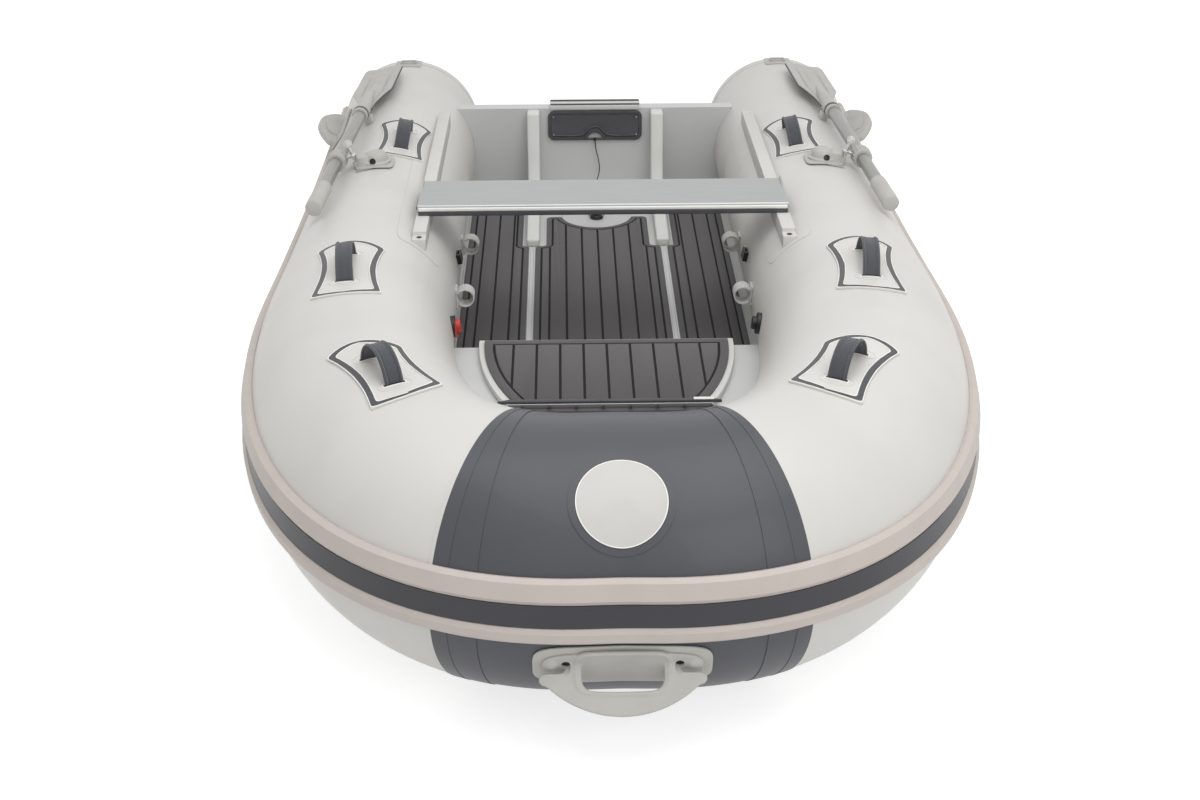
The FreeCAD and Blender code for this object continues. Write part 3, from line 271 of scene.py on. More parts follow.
class Tree:
    """A node tree and the calls that build it."""

    def __init__(self, tree):
        self.tree = tree

    def node(self, kind, inputs=None, out=0, **settings):
        made = self.tree.nodes.new(kind)
        for key, value in settings.items():
            setattr(made, key, value)
        for key, value in (inputs or {}).items():
            self.feed(made.inputs[key], value)
        return Sock(self, made.outputs[out])

    def feed(self, socket, value):
        if isinstance(value, Sock):
            self.tree.links.new(value.socket, socket)
        else:
            socket.default_value = value

    def rays(self, first, *others):
        """1 for rays of these kinds, else 0."""
        path = self.node("ShaderNodeLightPath")
        share = path.part(first)
        for kind in others:
            share = share.sum("MAXIMUM", path.part(kind))
        return share


class Shade(Tree):
    """A material and what its surface is made of."""

    def __init__(self, name, rough=0.5, metal=0.0, coat=0.0, sheen=0.0):
        self.material = bpy.data.materials.new(name)
        self.material.use_nodes = True
        super().__init__(self.material.node_tree)
        self.skin = self.tree.nodes["Principled BSDF"]
        self.skin.inputs["Roughness"].default_value = rough
        self.skin.inputs["Metallic"].default_value = metal
        self.skin.inputs["Coat Weight"].default_value = coat
        self.skin.inputs["Sheen Weight"].default_value = sheen

    def place(self, scale=(1, 1, 1), turn=(0, 0, 0)):
        point = self.node("ShaderNodeTexCoord", out="Object")
        return self.node("ShaderNodeMapping", {"Vector": point, "Scale": scale, "Rotation": turn})

    def noise(self, scale, detail=2.0, stretch=(1, 1, 1)):
        return self.node("ShaderNodeTexNoise", {"Vector": self.place(stretch), "Scale": scale, "Detail": detail})

    def bands(self, direction, scale, turn=(0, 0, 0), sharp="SIN"):
        return self.node("ShaderNodeTexWave", {"Vector": self.place(turn=turn), "Scale": scale, "Distortion": 0.0},
                         "Fac", bands_direction=direction, wave_profile=sharp)

    def tone_and_highlight(self, colour, factor, darker=0.9):
        """The colour, scaled by darker where factor is high: a little darker below 1, lighter above 1, as on the
        diamond rubber's painted highlight.
        """
        mixed = self.node("ShaderNodeMix", {0: factor}, 2, data_type="RGBA")
        for index, share in ((6, 1.0), (7, darker)):
            mixed.socket.node.inputs[index].default_value = [v * share for v in colour] + [1.0]
        self.feed(self.skin.inputs["Base Color"], mixed)

    def rough(self, value):
        self.feed(self.skin.inputs["Roughness"], value)

    def raised(self, height, depth, strength=1.0):
        bump = self.node("ShaderNodeBump", {"Height": height, "Distance": depth, "Strength": strength})
        self.feed(self.skin.inputs["Normal"], bump)


def coated_fabric(name, colour, cloud=0.95):
    """Coated fabric: a fine pressed grain, faint clouds and a soft sheen."""
    shade = Shade(name, coat=0.06)
    clouds = shade.noise(4.0, 3.0)
    grain = shade.node("ShaderNodeTexVoronoi", {"Vector": shade.place(), "Scale": 900.0})
    shade.tone_and_highlight(colour, clouds.between(0.35, 0.75), cloud)
    shade.rough(0.40 + 0.10 * clouds)
    shade.raised(grain + 0.5 * shade.noise(260.0), 0.00025, 0.5)
    return shade


def moulded(name, colour, rough=0.46, darker=0.94):
    """Moulded plastic or rubber with a fine orange peel and handled patches."""
    shade = Shade(name)
    patches = shade.noise(18.0, 3.0)
    shade.tone_and_highlight(colour, patches.between(0.4, 0.75), darker)
    shade.rough(rough - 0.05 + 0.12 * patches)
    shade.raised(shade.noise(700.0), 0.0002, 0.5)
    return shade


def gelcoat(name, colour):
    """Painted laminate: smooth, with faint orange peel and dust in its shine."""
    shade = Shade(name, coat=0.15)
    clouds = shade.noise(6.0, 3.0)
    shade.tone_and_highlight(colour, clouds.between(0.4, 0.8), 0.965)
    shade.rough(0.42 + 0.12 * clouds)
    shade.raised(shade.noise(120.0), 0.0002, 0.4)
    return shade


def foam(name, colour):
    """Brushed closed-cell foam: fine lines along the boat, a peppered surface and scuffed clouds."""
    shade = Shade(name, sheen=0.25)
    brushed = shade.noise(420.0, 2.0, (1, 0.05, 1))
    pepper = shade.noise(1100.0, 1.0)
    clouds = shade.noise(7.0, 4.0, (1, 0.5, 1))
    shade.tone_and_highlight(colour, 0.35 * pepper + 0.45 * clouds + 0.2 * brushed, 0.72)
    shade.rough(0.80 + 0.12 * clouds)
    shade.raised(brushed + pepper, 0.0004, 0.6)
    return shade


def diamond_rubber(name, colour):
    """Rubber with a raised diamond pattern in the XZ plane, whose raised lines are painted lighter as a highlight.
    """
    shade = Shade(name)
    one, two = (shade.bands("X", 52.0, (0, math.radians(lean), 0)) for lean in (45, -45))
    lines = one.sum("MAXIMUM", two)
    # The raised lines are painted 1.35 times lighter: a painted highlight on the ridges, besides their bump.
    shade.tone_and_highlight(colour, lines.between(0.5, 0.95), 1.35)
    shade.rough(0.62 + 0.1 * lines)
    shade.raised(lines, 0.0012, 0.8)
    return shade


def brushed_metal(name, colour, along, ribs=0.0):
    """Drawn metal: fine lines along it, and shallow ribs across if asked for."""
    shade = Shade(name, metal=0.72)
    lines = shade.noise(500.0, 2.0, [0.02 if axis == along else 1.0 for axis in "XYZ"])
    shade.tone_and_highlight(colour, lines.between(0.3, 0.8), 0.90)
    shade.rough(0.32 + 0.14 * lines)
    shade.raised(0.3 * lines + shade.bands("Y", ribs, sharp="TRI") if ribs else lines, 0.0004, 0.5)
    return shade


def polished(name, colour):
    """Polished metal with a few fine scratches."""
    shade = Shade(name, metal=1.0)
    lines = shade.noise(300.0, 3.0, (1, 0.2, 1))
    shade.tone_and_highlight(colour, lines, 0.92)
    shade.rough(0.18 + 0.15 * lines)
    return shade


def woven(name, colour, pitch=420.0):
    """Woven webbing: crossing threads a millimetre or so apart."""
    shade = Shade(name, sheen=0.3)
    threads = shade.bands("Y", pitch) * shade.bands("X", pitch)
    shade.tone_and_highlight(colour, threads, 0.75)
    shade.rough(0.72 + 0.12 * shade.noise(90.0))
    shade.raised(threads, 0.0005, 0.7)
    return shade


def braided(name, colour):
    """Braided cord."""
    shade = Shade(name)
    braid = shade.bands("DIAGONAL", 500.0)
    shade.tone_and_highlight(colour, braid, 0.6)
    shade.rough(0.7 + 0.1 * braid)
    shade.raised(braid, 0.0003, 0.6)
    return shade


def clear_knob(name, colour):
    """Clear plastic, a little frosted."""
    shade = moulded(name, colour, 0.18)
    shade.skin.inputs["Transmission Weight"].default_value = 0.45
    return shade


# Each finish: the call that makes it, the material's name, its colour and what else the call takes
FINISHES = {
    "tube": (coated_fabric, "tube_fabric", "tube"),
    "panel": (coated_fabric, "panel_fabric", "panel", 0.88),
    "stripe": (coated_fabric, "stripe_fabric", "2F2F35", 0.9),
    "strake": (moulded, "strake_rubber", "strake", 0.5, 0.965),
    "gelcoat": (gelcoat, "gelcoat_grey", "gelcoat"),
    "brace": (gelcoat, "gelcoat_light", "D6D6D3"),
    "foam": (foam, "deck_foam", "foam"),
    "groove": (moulded, "groove_foam", "groove", 0.8),
    "plastic": (moulded, "light_plastic", "plastic"),
    "rubber": (moulded, "dark_rubber", "rubber", 0.55, 0.8),
    "diamond": (diamond_rubber, "diamond_rubber", "rubber"),
    "bench": (brushed_metal, "bench_metal", "bench", "X", 34.0),
    # Near-white: the bench's painted front-edge highlight
    "edge": (moulded, "bench_edge", "F2F1ED", 0.3, 0.97),
    "shaft": (brushed_metal, "shaft_metal", "shaft", "Y"),
    "steel": (polished, "steel", "C9C9C9"),
    "webbing": (woven, "webbing", "webbing"),
    "light_webbing": (woven, "light_webbing", "CFCDC9", 380.0),
    "outline": (coated_fabric, "patch_outline", "3D3E43", 0.85),
    "patch": (coated_fabric, "patch_fabric", "D7D5D1"),
    # Near-white trim; on the strap patches it paints the highlights along the outline bands
    "piping": (moulded, "light_piping", "EFEDE8", 0.42, 0.97),
    "disc": (moulded, "badge_disc", "C6C5C1", 0.4, 0.97),
    "black": (moulded, "black_plastic", "17171A", 0.4, 0.7),
    "red": (moulded, "red_plastic", "C0392F", 0.35, 0.85),
    "cord": (braided, "lanyard_cord", "1B1B1E"),
    "clear": (clear_knob, "clear_knob", "E4E4E0"),
}
finishes = {}


def finish_of(key):
    """The material of a finish, made when it is first asked for."""
    if key not in finishes:
        make, name, colour, *more = FINISHES[key]
        colours = bpy.context.scene.boat_colours
        tone = tuple(getattr(colours, colour)) if hasattr(colours, colour) else linear(colour)
        finishes[key] = make(name, tone, *more).material
    return finishes[key]


# ---------------------------------------------------------------- ways of working
def alone(*pieces):
    """Select these pieces and nothing else. The last is the active one."""
    bpy.ops.object.select_all(action="DESELECT")
    for piece in pieces:
        piece.select_set(True)
    bpy.context.view_layer.objects.active = pieces[-1]


@contextlib.contextmanager
def editing(piece, pick="FACE", some=None):
    """Edit mode on a piece, with all of it selected, or the faces that some(centre, normal) names."""
    alone(piece)
    bpy.ops.object.mode_set(mode="EDIT")
    bpy.ops.mesh.select_mode(type=pick)
    bpy.ops.mesh.select_all(action="SELECT")
    if some:
        bpy.ops.mesh.select_all(action="DESELECT")
        shape = bmesh.from_edit_mesh(piece.data)
        shape.normal_update()
        for face in shape.faces:
            face.select_set(bool(some(face.calc_center_median(), face.normal)))
        bmesh.update_edit_mesh(piece.data)
    yield
    bpy.ops.object.mode_set(mode="OBJECT")


def outwards(piece):
    with editing(piece):
        bpy.ops.mesh.normals_make_consistent(inside=False)


def started(name):
    """The primitive that was just added, under its own name."""
    piece = bpy.context.object
    piece.name = name
    piece.data.name = name
    return piece


def modify(piece, kind, **settings):
    """Add a modifier and apply it."""
    alone(piece)
    step = piece.modifiers.new(kind.lower(), kind)
    for key, value in settings.items():
        setattr(step, key, value)
    bpy.ops.object.modifier_apply(modifier=step.name)
    return piece


def bevelled(piece, width, degrees=50, segments=2):
    return modify(piece, "BEVEL", width=width, segments=segments, limit_method="ANGLE",
                  angle_limit=math.radians(degrees))


def thickened(piece, thick):
    return modify(piece, "SOLIDIFY", thickness=thick, offset=-1.0)


def moulding(piece, voxel, rounds):
    """Melt a piece's hard edges together, as a moulding's are."""
    modify(piece, "REMESH", mode="VOXEL", voxel_size=voxel)
    modify(piece, "SMOOTH", factor=0.5, iterations=rounds)


def carved(piece, cutter):
    """Cut one piece out of another and drop it."""
    modify(piece, "BOOLEAN", object=cutter, operation="DIFFERENCE", solver="EXACT")
    bpy.data.objects.remove(cutter)


def settle(piece):
    """Apply the piece's own place, turn and scale to its mesh."""
    alone(piece)
    bpy.ops.object.transform_apply(location=True, rotation=True, scale=True)
    return piece


def placed(piece, place):
    """Move a piece that was made at the origin to its place, and keep the place in its mesh."""
    piece.matrix_world = place @ piece.matrix_world
    return settle(piece)


def stretched(piece, x, y, z):
    piece.scale = (x, y, z)
    return settle(piece)


def shift(x=0, y=0, z=0):
    return Matrix.Translation((x, y, z))


def turn(degrees, axis):
    return Matrix.Rotation(math.radians(degrees), 4, axis)


def facing(point, direction):
    """A placement at a point with its z along a direction."""
    return Matrix.Translation(point) @ Vector(direction).to_track_quat("Z", "Y").to_matrix().to_4x4()


def dress(piece, material, slot, *stands_for, body="hull", angle=35):
    """Finish a piece: its shading, material, body and the nodes that it stands for. The slot is not used."""
    alone(piece)
    bpy.ops.object.shade_smooth_by_angle(angle=math.radians(angle))
    piece.data.materials.clear()
    piece.data.materials.append(finish_of(material))
    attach(piece, body)
    if stands_for:
        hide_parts(*stands_for)


def dress_both(piece, material, slot, stands_for=None, body="hull", angle=35):
    """Dress a port piece and its twin to starboard. A body that ends in _ has one to each side."""
    other = twin(piece, piece.name.replace("_port", "_starboard"))
    for made, side in zip((piece, other), SIGNS):
        names = [stands_for + "_" + side] if stands_for else []
        dress(made, material, slot, *names, body=body + side if body.endswith("_") else body, angle=angle)


def paint(material, *names):
    """Give CAD nodes a finish."""
    for name in names:
        mesh = nodes[name].data
        mesh.materials.clear()
        mesh.materials.append(finish_of(material))


def both(name):
    return [name + "_" + side for side in SIGNS]


def linked(name, data):
    piece = bpy.data.objects.new(name, data)
    bpy.context.scene.collection.objects.link(piece)
    return piece


def from_node(name, node, weld=2.0):
    """A new piece that starts as a copy of a CAD node, its triangles merged into plain faces."""
    piece = linked(name, nodes[node].data.copy())
    with editing(piece, "VERT"):
        bpy.ops.mesh.customdata_custom_splitnormals_clear()
        bpy.ops.mesh.remove_doubles(threshold=MERGED)
        if weld:
            bpy.ops.mesh.dissolve_limited(angle_limit=math.radians(weld))
        bpy.ops.mesh.normals_make_consistent(inside=False)
    return piece


def twin(piece, name):
    """The same piece on the other side of the boat."""
    other = linked(name, piece.data.copy())
    other.data.transform(Matrix.Scale(-1, 4, (1, 0, 0)))
    other.data.flip_normals()
    return other


def joined(name, *pieces):
    """Several pieces made one."""
    alone(*pieces)
    bpy.ops.object.join()
    return started(name)


def cube(name, low, high, bevel=0.0, segments=2):
    """A block between two corners with its edges rounded."""
    low, high = Vector(low), Vector(high)
    bpy.ops.mesh.primitive_cube_add(size=1, location=(low + high) / 2)
    piece = stretched(started(name), *(high - low))
    if bevel:
        with editing(piece, "EDGE"):
            bpy.ops.mesh.bevel(offset=bevel, segments=segments, affect="EDGES")
    return piece


def rod(name, radius, length, steps=32, bevel=0.0):
    """A round bar along Z from the origin, its rims rounded."""
    bpy.ops.mesh.primitive_cylinder_add(vertices=steps, radius=radius, depth=length, location=(0, 0, length / 2))
    piece = settle(started(name))
    return bevelled(piece, bevel, 50, 3) if bevel else piece


def ball(name, radius, segments, rings):
    bpy.ops.mesh.primitive_uv_sphere_add(segments=segments, ring_count=rings, radius=radius)
    return started(name)


def grid(name, columns, rows, point):
    """A sheet whose corners are at plus and minus a half, each point moved to point(x, y)."""
    bpy.ops.mesh.primitive_grid_add(x_subdivisions=columns, y_subdivisions=rows, size=1)
    piece = started(name)
    for vertex in piece.data.vertices:
        vertex.co = point(vertex.co.x, vertex.co.y)
    return piece


def turned(name, outline, steps=40):
    """A round piece about Z, spun from its outline: radius and height, in mm."""
    bpy.ops.mesh.primitive_circle_add(vertices=3, radius=0.01)
    piece = started(name)
    shape = bmesh.new()
    points = [shape.verts.new((r / 1000, 0, z / 1000)) for r, z in outline]
    for a, b in zip(points, points[1:]):
        shape.edges.new((a, b))
    shape.to_mesh(piece.data)
    shape.free()
    with editing(piece, "VERT"):
        bpy.ops.mesh.spin(steps=steps, angle=math.tau, center=(0, 0, 0), axis=(0, 0, 1))
        bpy.ops.mesh.select_all(action="SELECT")
        bpy.ops.mesh.remove_doubles(threshold=0.00005)
        bpy.ops.mesh.normals_make_consistent(inside=False)
    return piece


def open_round(name, steps):
    """The wall of a cylinder, whose points are in pairs: low, high."""
    bpy.ops.mesh.primitive_cylinder_add(vertices=steps, radius=1, depth=1, end_fill_type="NOTHING")
    return started(name)


def ring_of(name, outer, inner):
    """A flat ring between two closed rows of points."""
    piece = open_round(name, len(outer))
    for i, (a, b) in enumerate(zip(outer, inner)):
        piece.data.vertices[2 * i].co = a
        piece.data.vertices[2 * i + 1].co = b
    return piece


def tube_ring(name, s_low, s_high, lift, thick, columns=4):
    """A band of fabric right round the tube between two stations."""
    piece = open_round(name, 192)
    with editing(piece, "EDGE"):
        bpy.ops.mesh.select_all(action="DESELECT")
        shape = bmesh.from_edit_mesh(piece.data)
        for edge in shape.edges:
            edge.select_set(abs(edge.verts[0].co.z - edge.verts[1].co.z) > 0.5)
        bmesh.update_edit_mesh(piece.data)
        bpy.ops.mesh.subdivide(number_cuts=columns - 1)
    for vertex in piece.data.vertices:
        s = s_low + (s_high - s_low) * (vertex.co.z + 0.5)
        degrees = math.degrees(math.atan2(vertex.co.y, vertex.co.x))
        vertex.co = on_tube(s, degrees, lift).translation
    outwards(piece)
    return thickened(piece, thick)


def towards(piece, off):
    """Turn a sheet's faces to a direction."""
    if sum(face.normal.dot(off) for face in piece.data.polygons) < 0:
        piece.data.flip_normals()


def tube_patch(name, s, degrees, width, length, lift, thick, skew, steps=(16, 24)):
    """A rounded sheet of fabric laid on the tube: width round it and length along it."""
    speed = along_tube(s).length

    def point(x, y):
        x, y = skew(x * width, y * length)
        at = s + y / speed
        return on_tube(at, degrees + math.degrees(x / tube_radius(at)), lift).translation
    piece = grid(name, *steps, point)
    outwards(piece)
    towards(piece, on_tube(s, degrees).col[2].to_3d())
    return thickened(piece, thick)


def squircle(width, length, power):
    """Rounds the corners of a sheet."""
    def skew(x, y):
        u, v = 2 * x / width, 2 * y / length
        reach = max(abs(u), abs(v))
        if reach < 1e-6:
            return x, y
        norm = (abs(u / reach) ** power + abs(v / reach) ** power) ** (1 / power)
        return x / norm, y / norm
    return skew


def pressed_on(piece, place, target, lift, thick):
    """Press a flat piece down on the tube under it and give it a thickness."""
    piece.matrix_world = place @ shift(z=0.06)
    modify(piece, "SHRINKWRAP", target=nodes.get(target) or bpy.data.objects[target], offset=lift,
           wrap_method="PROJECT", wrap_mode="ABOVE_SURFACE", use_project_z=True,
           use_positive_direction=False, use_negative_direction=True)
    outwards(settle(piece))
    towards(piece, place.col[2].to_3d())
    return thickened(piece, thick)


def wire(name, points, radius, closed=False):
    """A round wire or cord through points."""
    line = bpy.data.curves.new(name, "CURVE")
    line.dimensions = "3D"
    line.bevel_depth = radius
    line.bevel_resolution = 4
    line.use_fill_caps = True
    spline = line.splines.new("NURBS")
    spline.points.add(len(points) - 1)
    for knot, point in zip(spline.points, points):
        knot.co = (*point, 1.0)
    spline.order_u = 3
    spline.use_endpoint_u = not closed
    spline.use_cyclic_u = closed
    spline.resolution_u = 8
    return linked(name, line)


def wire_mesh(name, points, radius, closed=False):
    """The same as a mesh."""
    alone(wire(name, points, radius, closed))
    bpy.ops.object.convert(target="MESH")
    return bpy.context.object


def loop_of(name, row, fill="NOTHING"):
    """A closed row of points as edges, or as one face."""
    bpy.ops.mesh.primitive_circle_add(vertices=len(row), radius=1, fill_type=fill)
    piece = started(name)
    for vertex, point in zip(piece.data.vertices, row):
        vertex.co = point
    return piece


def cut_across(piece, direction, low=None, high=None):
    """Keep what lies between two planes across a direction."""
    for at, side in ((low, "clear_inner"), (high, "clear_outer")):
        if at is not None:
            with editing(piece):
                bpy.ops.mesh.bisect(plane_co=direction * at, plane_no=direction, threshold=0.00001, **{side: True})


def oval(half_width, half_length, aft, steps=56):
    """Points of an oval about a place along y."""
    turns = [math.tau * i / steps for i in range(steps)]
    return [Vector((half_width * math.cos(a), aft + half_length * math.sin(a), 0)) for a in turns]


# ---------------------------------------------------------------- foam decking
def rim(node):
    """The outline of a flat pad's top, in order and turning left."""
    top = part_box(node)[1].z
    shape = bmesh.new()
    shape.from_mesh(nodes[node].data)
    bmesh.ops.remove_doubles(shape, verts=shape.verts, dist=MERGED)
    shape.normal_update()
    flat = {face for face in shape.faces if face.normal.z > 0.9 and face.calc_center_median().z > top - ON_EDGE}
    links = {}
    for edge in shape.edges:
        if sum(face in flat for face in edge.link_faces) == 1:
            a, b = edge.verts
            links.setdefault(a, []).append(b)
            links.setdefault(b, []).append(a)
    start = min(links, key=lambda vertex: tuple(vertex.co))
    row, before, at = [start.co.copy()], start, links[start][0]
    while at is not start:
        row.append(at.co.copy())
        ahead = [vertex for vertex in links[at] if vertex is not before]
        before, at = at, ahead[0]
    shape.free()
    area = sum(a.x * b.y - b.x * a.y for a, b in zip(row, row[1:] + row[:1]))
    return row if area > 0 else row[::-1]


def evenly(row, step):
    """Points about a step apart along a closed row."""
    made = []
    for a, b in zip(row, row[1:] + row[:1]):
        count = max(1, round((b - a).length / step))
        made += [a.lerp(b, i / count) for i in range(count)]
    return made


def drawn_in(row, distance):
    """A closed row moved inwards, or outwards below zero, without what would cross itself."""
    dense = evenly(row, 0.0015)
    tree = KDTree(len(dense))
    for i, point in enumerate(dense):
        tree.insert(point, i)
    tree.balance()
    moved = []
    for before, at, after in zip(dense[-1:] + dense[:-1], dense, dense[1:] + dense[:1]):
        along = (after - before).normalized()
        point = at + Vector((-along.y, along.x, 0)) * distance
        if tree.find(point)[2] > abs(distance) - 0.0002:
            moved.append(point)
    kept = moved[:1]
    for at, after in zip(moved[1:], moved[2:] + moved[:1]):
        if (at - kept[-1]).angle(after - at, 0) > math.radians(0.8):
            kept.append(at)
    return kept


def facing_up(piece):
    if sum(face.normal.z * face.area for face in piece.data.polygons) < 0:
        piece.data.flip_normals()
    return piece


def framed(name, outer, inner):
    """A flat face between two closed rows of points."""
    piece = joined(name, loop_of(name, outer), loop_of(name, inner))
    with editing(piece, "EDGE"):
        bpy.ops.mesh.fill(use_beauty=True)
    return facing_up(piece)


def longer_sides(row, front, reach):
    """Run a pad's sides on past its front, so that its border ends there and doesn't turn."""
    longer = []
    for i, p in enumerate(row):
        if p.y < front + ON_EDGE:
            beside = [q for q in (row[i - 1], row[(i + 1) % len(row)]) if q.y > front + ON_EDGE]
            slope = (p.x - beside[0].x) / (beside[0].y - p.y) if beside else 0.0
            p = p + Vector((slope, -1, 0)) * reach
        longer.append(p)
    return longer


def decking(name, node, lines, border, sizes, body="hull", open_front=False):
    """Foam decking cut from a pad's outline: a border, planks along the boat and the sheet below them."""
    low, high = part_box(node)
    thick, groove = high.z - low.z, sizes.groove
    row = rim(node)
    sheet = facing_up(loop_of(name + "_sheet", row, "NGON"))
    if open_front:
        row = longer_sides(row, low.y, (border + groove) * 1.5)
    pieces = []
    field = row
    if border:
        pieces.append(framed(name, row, drawn_in(row, border)))
        field = drawn_in(row, border + groove)
    edges = [None] + sorted(lines) + [None]
    for left, right in zip(edges, edges[1:]):
        plank = facing_up(loop_of(name + "_plank", field, "NGON"))
        cut_across(plank, Vector((1, 0, 0)), None if left is None else left + groove / 2,
                   None if right is None else right - groove / 2)
        pieces.append(plank)
    top = joined(name, *pieces)
    if open_front:
        cut_across(top, Vector((0, 1, 0)), low=low.y)
    bevelled(thickened(top, thick * 0.9), sizes.bevel)
    sheet.data.transform(shift(z=-thick * 0.74))
    thickened(sheet, thick * 0.24)
    dress(top, "foam", "eva", node, body=body, angle=25)
    dress(sheet, "groove", "eva", body=body)


# ---------------------------------------------------------------- straps, handles and oars
def arc_of(a, bow, b, steps):
    """Points on the round arc from a through bow, up to b."""
    left, right = bow - a, b - a
    cross = 2 * (left.x * right.y - left.y * right.x)
    middle = a + Vector((right.y * left.length_squared - left.y * right.length_squared,
                         left.x * right.length_squared - right.x * left.length_squared, 0)) / cross
    start, through, end = (math.atan2((p - middle).y, (p - middle).x) for p in (a, bow, b))
    sweep = (end - start) % math.tau
    if (through - start) % math.tau > sweep:
        sweep -= math.tau
    radius = (a - middle).length
    turns = [start + sweep * i / steps for i in range(steps)]
    return [middle + Vector((math.cos(angle), math.sin(angle), 0)) * radius for angle in turns]


def patch_outline(place, across, along):
    """Points round a strap patch in the plane over its middle, drawn in across and along it."""
    reach, degrees, aft_width, fore_width, length = place
    s = s_at(reach)
    flat = on_tube(s, degrees).inverted()
    corners = []
    for step, width in ((-1, aft_width), (1, fore_width)):
        speed = NOSE if s <= 0 else along_tube(s).length
        at = s + step * length / 2 / speed
        half = math.degrees(width / 2 / tube_radius(at))
        for side in (step, -step):
            point = flat @ on_tube(at, degrees + side * half).translation
            corners.append(Vector((point.x, point.y, 0)))
    middle = sum(corners, Vector()) / 4
    points = []
    for a, b, (share, steps) in zip(corners, corners[1:] + corners[:1], PATCH_EDGES):
        half_way = (a + b) / 2
        bow = half_way + (middle - half_way).normalized() * (a - b).length * share
        points += arc_of(a, bow, b, steps)
    # Sideways edges run along y, so they move by across, and the other two by along
    moved = []
    for p in points:
        off = p - middle
        moved.append(Vector((p.x - math.copysign(min(abs(off.x), across), off.x),
                             p.y - math.copysign(min(abs(off.y), along), off.y), 0)))
    for _ in range(5):
        moved = [(a + 2 * b + c) / 4 for a, b, c in zip(moved[-1:] + moved[:-1], moved, moved[1:] + moved[:1])]
    return moved


def webbing_arch(place, sizes, half):
    """A strap that stands in a round arch, with a ridge and a stitched furrow along each edge."""
    height = sizes.strap_height
    radius = (half ** 2 + height ** 2) / (2 * height)
    reach = math.acos((radius - height) / radius)

    def point(x, y):
        u, angle = x * 2, y * 2 * (reach + 0.06)
        ridge = sizes.ridge * math.exp(-((abs(u) - 0.80) / 0.13) ** 2)
        furrow = 0.0013 * math.exp(-((abs(u) - 0.55) / 0.05) ** 2)
        out = radius + (ridge - furrow)
        return u * sizes.strap_width / 2, out * math.sin(angle), height - radius + out * math.cos(angle)
    return placed(bevelled(thickened(grid("arch", 56, 48, point), 0.0034), 0.0007, 60), place)


def grip_plate(name, place, width, length, power, lift, thick):
    """A rounded plate that follows the bow."""
    skew = squircle(width, length, power)
    plate = grid(name, 24, 72, lambda x, y: (*skew(x * width, y * length), 0))
    return pressed_on(plate, place, "panel_skin", lift, thick)


def mirrored(row):
    """The other half of a row of pairs, up to the middle."""
    return [(-y, z) for y, z in row[::-1]]


def crescent(name, lean):
    """The bow handle's bar, in mm: a broad crescent with free rounded horns and a finger slot."""
    radius, drop = 208.6, 106
    lower = [(y, drop - radius + math.sqrt(radius ** 2 - y ** 2)) for y in range(-144, 145, 12)]
    horn = [(154.5, 45), (158.5, 39), (158, 31), (152.5, 26.2), (140, 24.5), (124, 25), (112, 23.5), (106, 15),
            (104, 4), (104, -6)]
    slot = [(77.5, -6), (77.5, 33), (76.8, 41), (74.2, 47.5), (69.8, 52.6), (63.8, 56.4), (56, 58.4), (40, 59.2)]
    around = lower + horn + slot + [(0, 59.6)] + mirrored(slot) + mirrored(horn)
    bar = loop_of(name, [Vector((-11, y, z)) / 1000 for y, z in around], "NGON")
    thickened(bar, 0.022)
    with editing(bar):
        bpy.ops.mesh.quads_convert_to_tris(quad_method="BEAUTY", ngon_method="BEAUTY")
        bpy.ops.mesh.normals_make_consistent(inside=False)
    return placed(bar, lean)


def on_blade(u, v):
    """A point of the blade's upper face: u runs across it from -1 to 1, v from neck to tip."""
    half = 0.020 + 0.042 * min(1.0, v * v * (3 - 2 * v) * 2.6) ** 1.1
    half *= 1 - 0.16 * max(0.0, (v - 0.93) / 0.07) ** 2
    fade = math.sin(math.pi * min(1.0, max(0.0, (v - 0.16) / 0.78))) ** 0.5
    groove = sum(math.exp(-((u - at) / 0.06) ** 4) for at in (-0.52, 0.52)) * -0.0052 * fade
    ridge = 0.0035 * math.exp(-(u / 0.20) ** 2) * fade + 0.013 * math.exp(-(u / 0.22) ** 2) * (1 - v) ** 0.8
    scoop = 0.004 * u * u * min(1.0, v * 3)
    return Vector((u * half, BLADE_START + v * (BLADE_END - BLADE_START), scoop + groove + ridge - 0.006))


def blade_mesh(name):
    """An oar blade along Y from the pin: a leaf with a ridge between two grooves on a round neck."""
    piece = grid(name, 72, 60, lambda x, y: on_blade(x * 2, y + 0.5))
    bevelled(thickened(piece, 0.0050), 0.0012, 60)
    neck = turned("neck", [(18.2, -34), (23, -33), (25, -28), (24.6, -14), (22.6, 10), (20.6, 80), (15, 140),
                           (7, 210), (0, 215)], 32)
    placed(stretched(neck, 1, 0.92, 1), shift(y=BLADE_START) @ turn(-90, "X"))
    return joined(name, piece, neck)


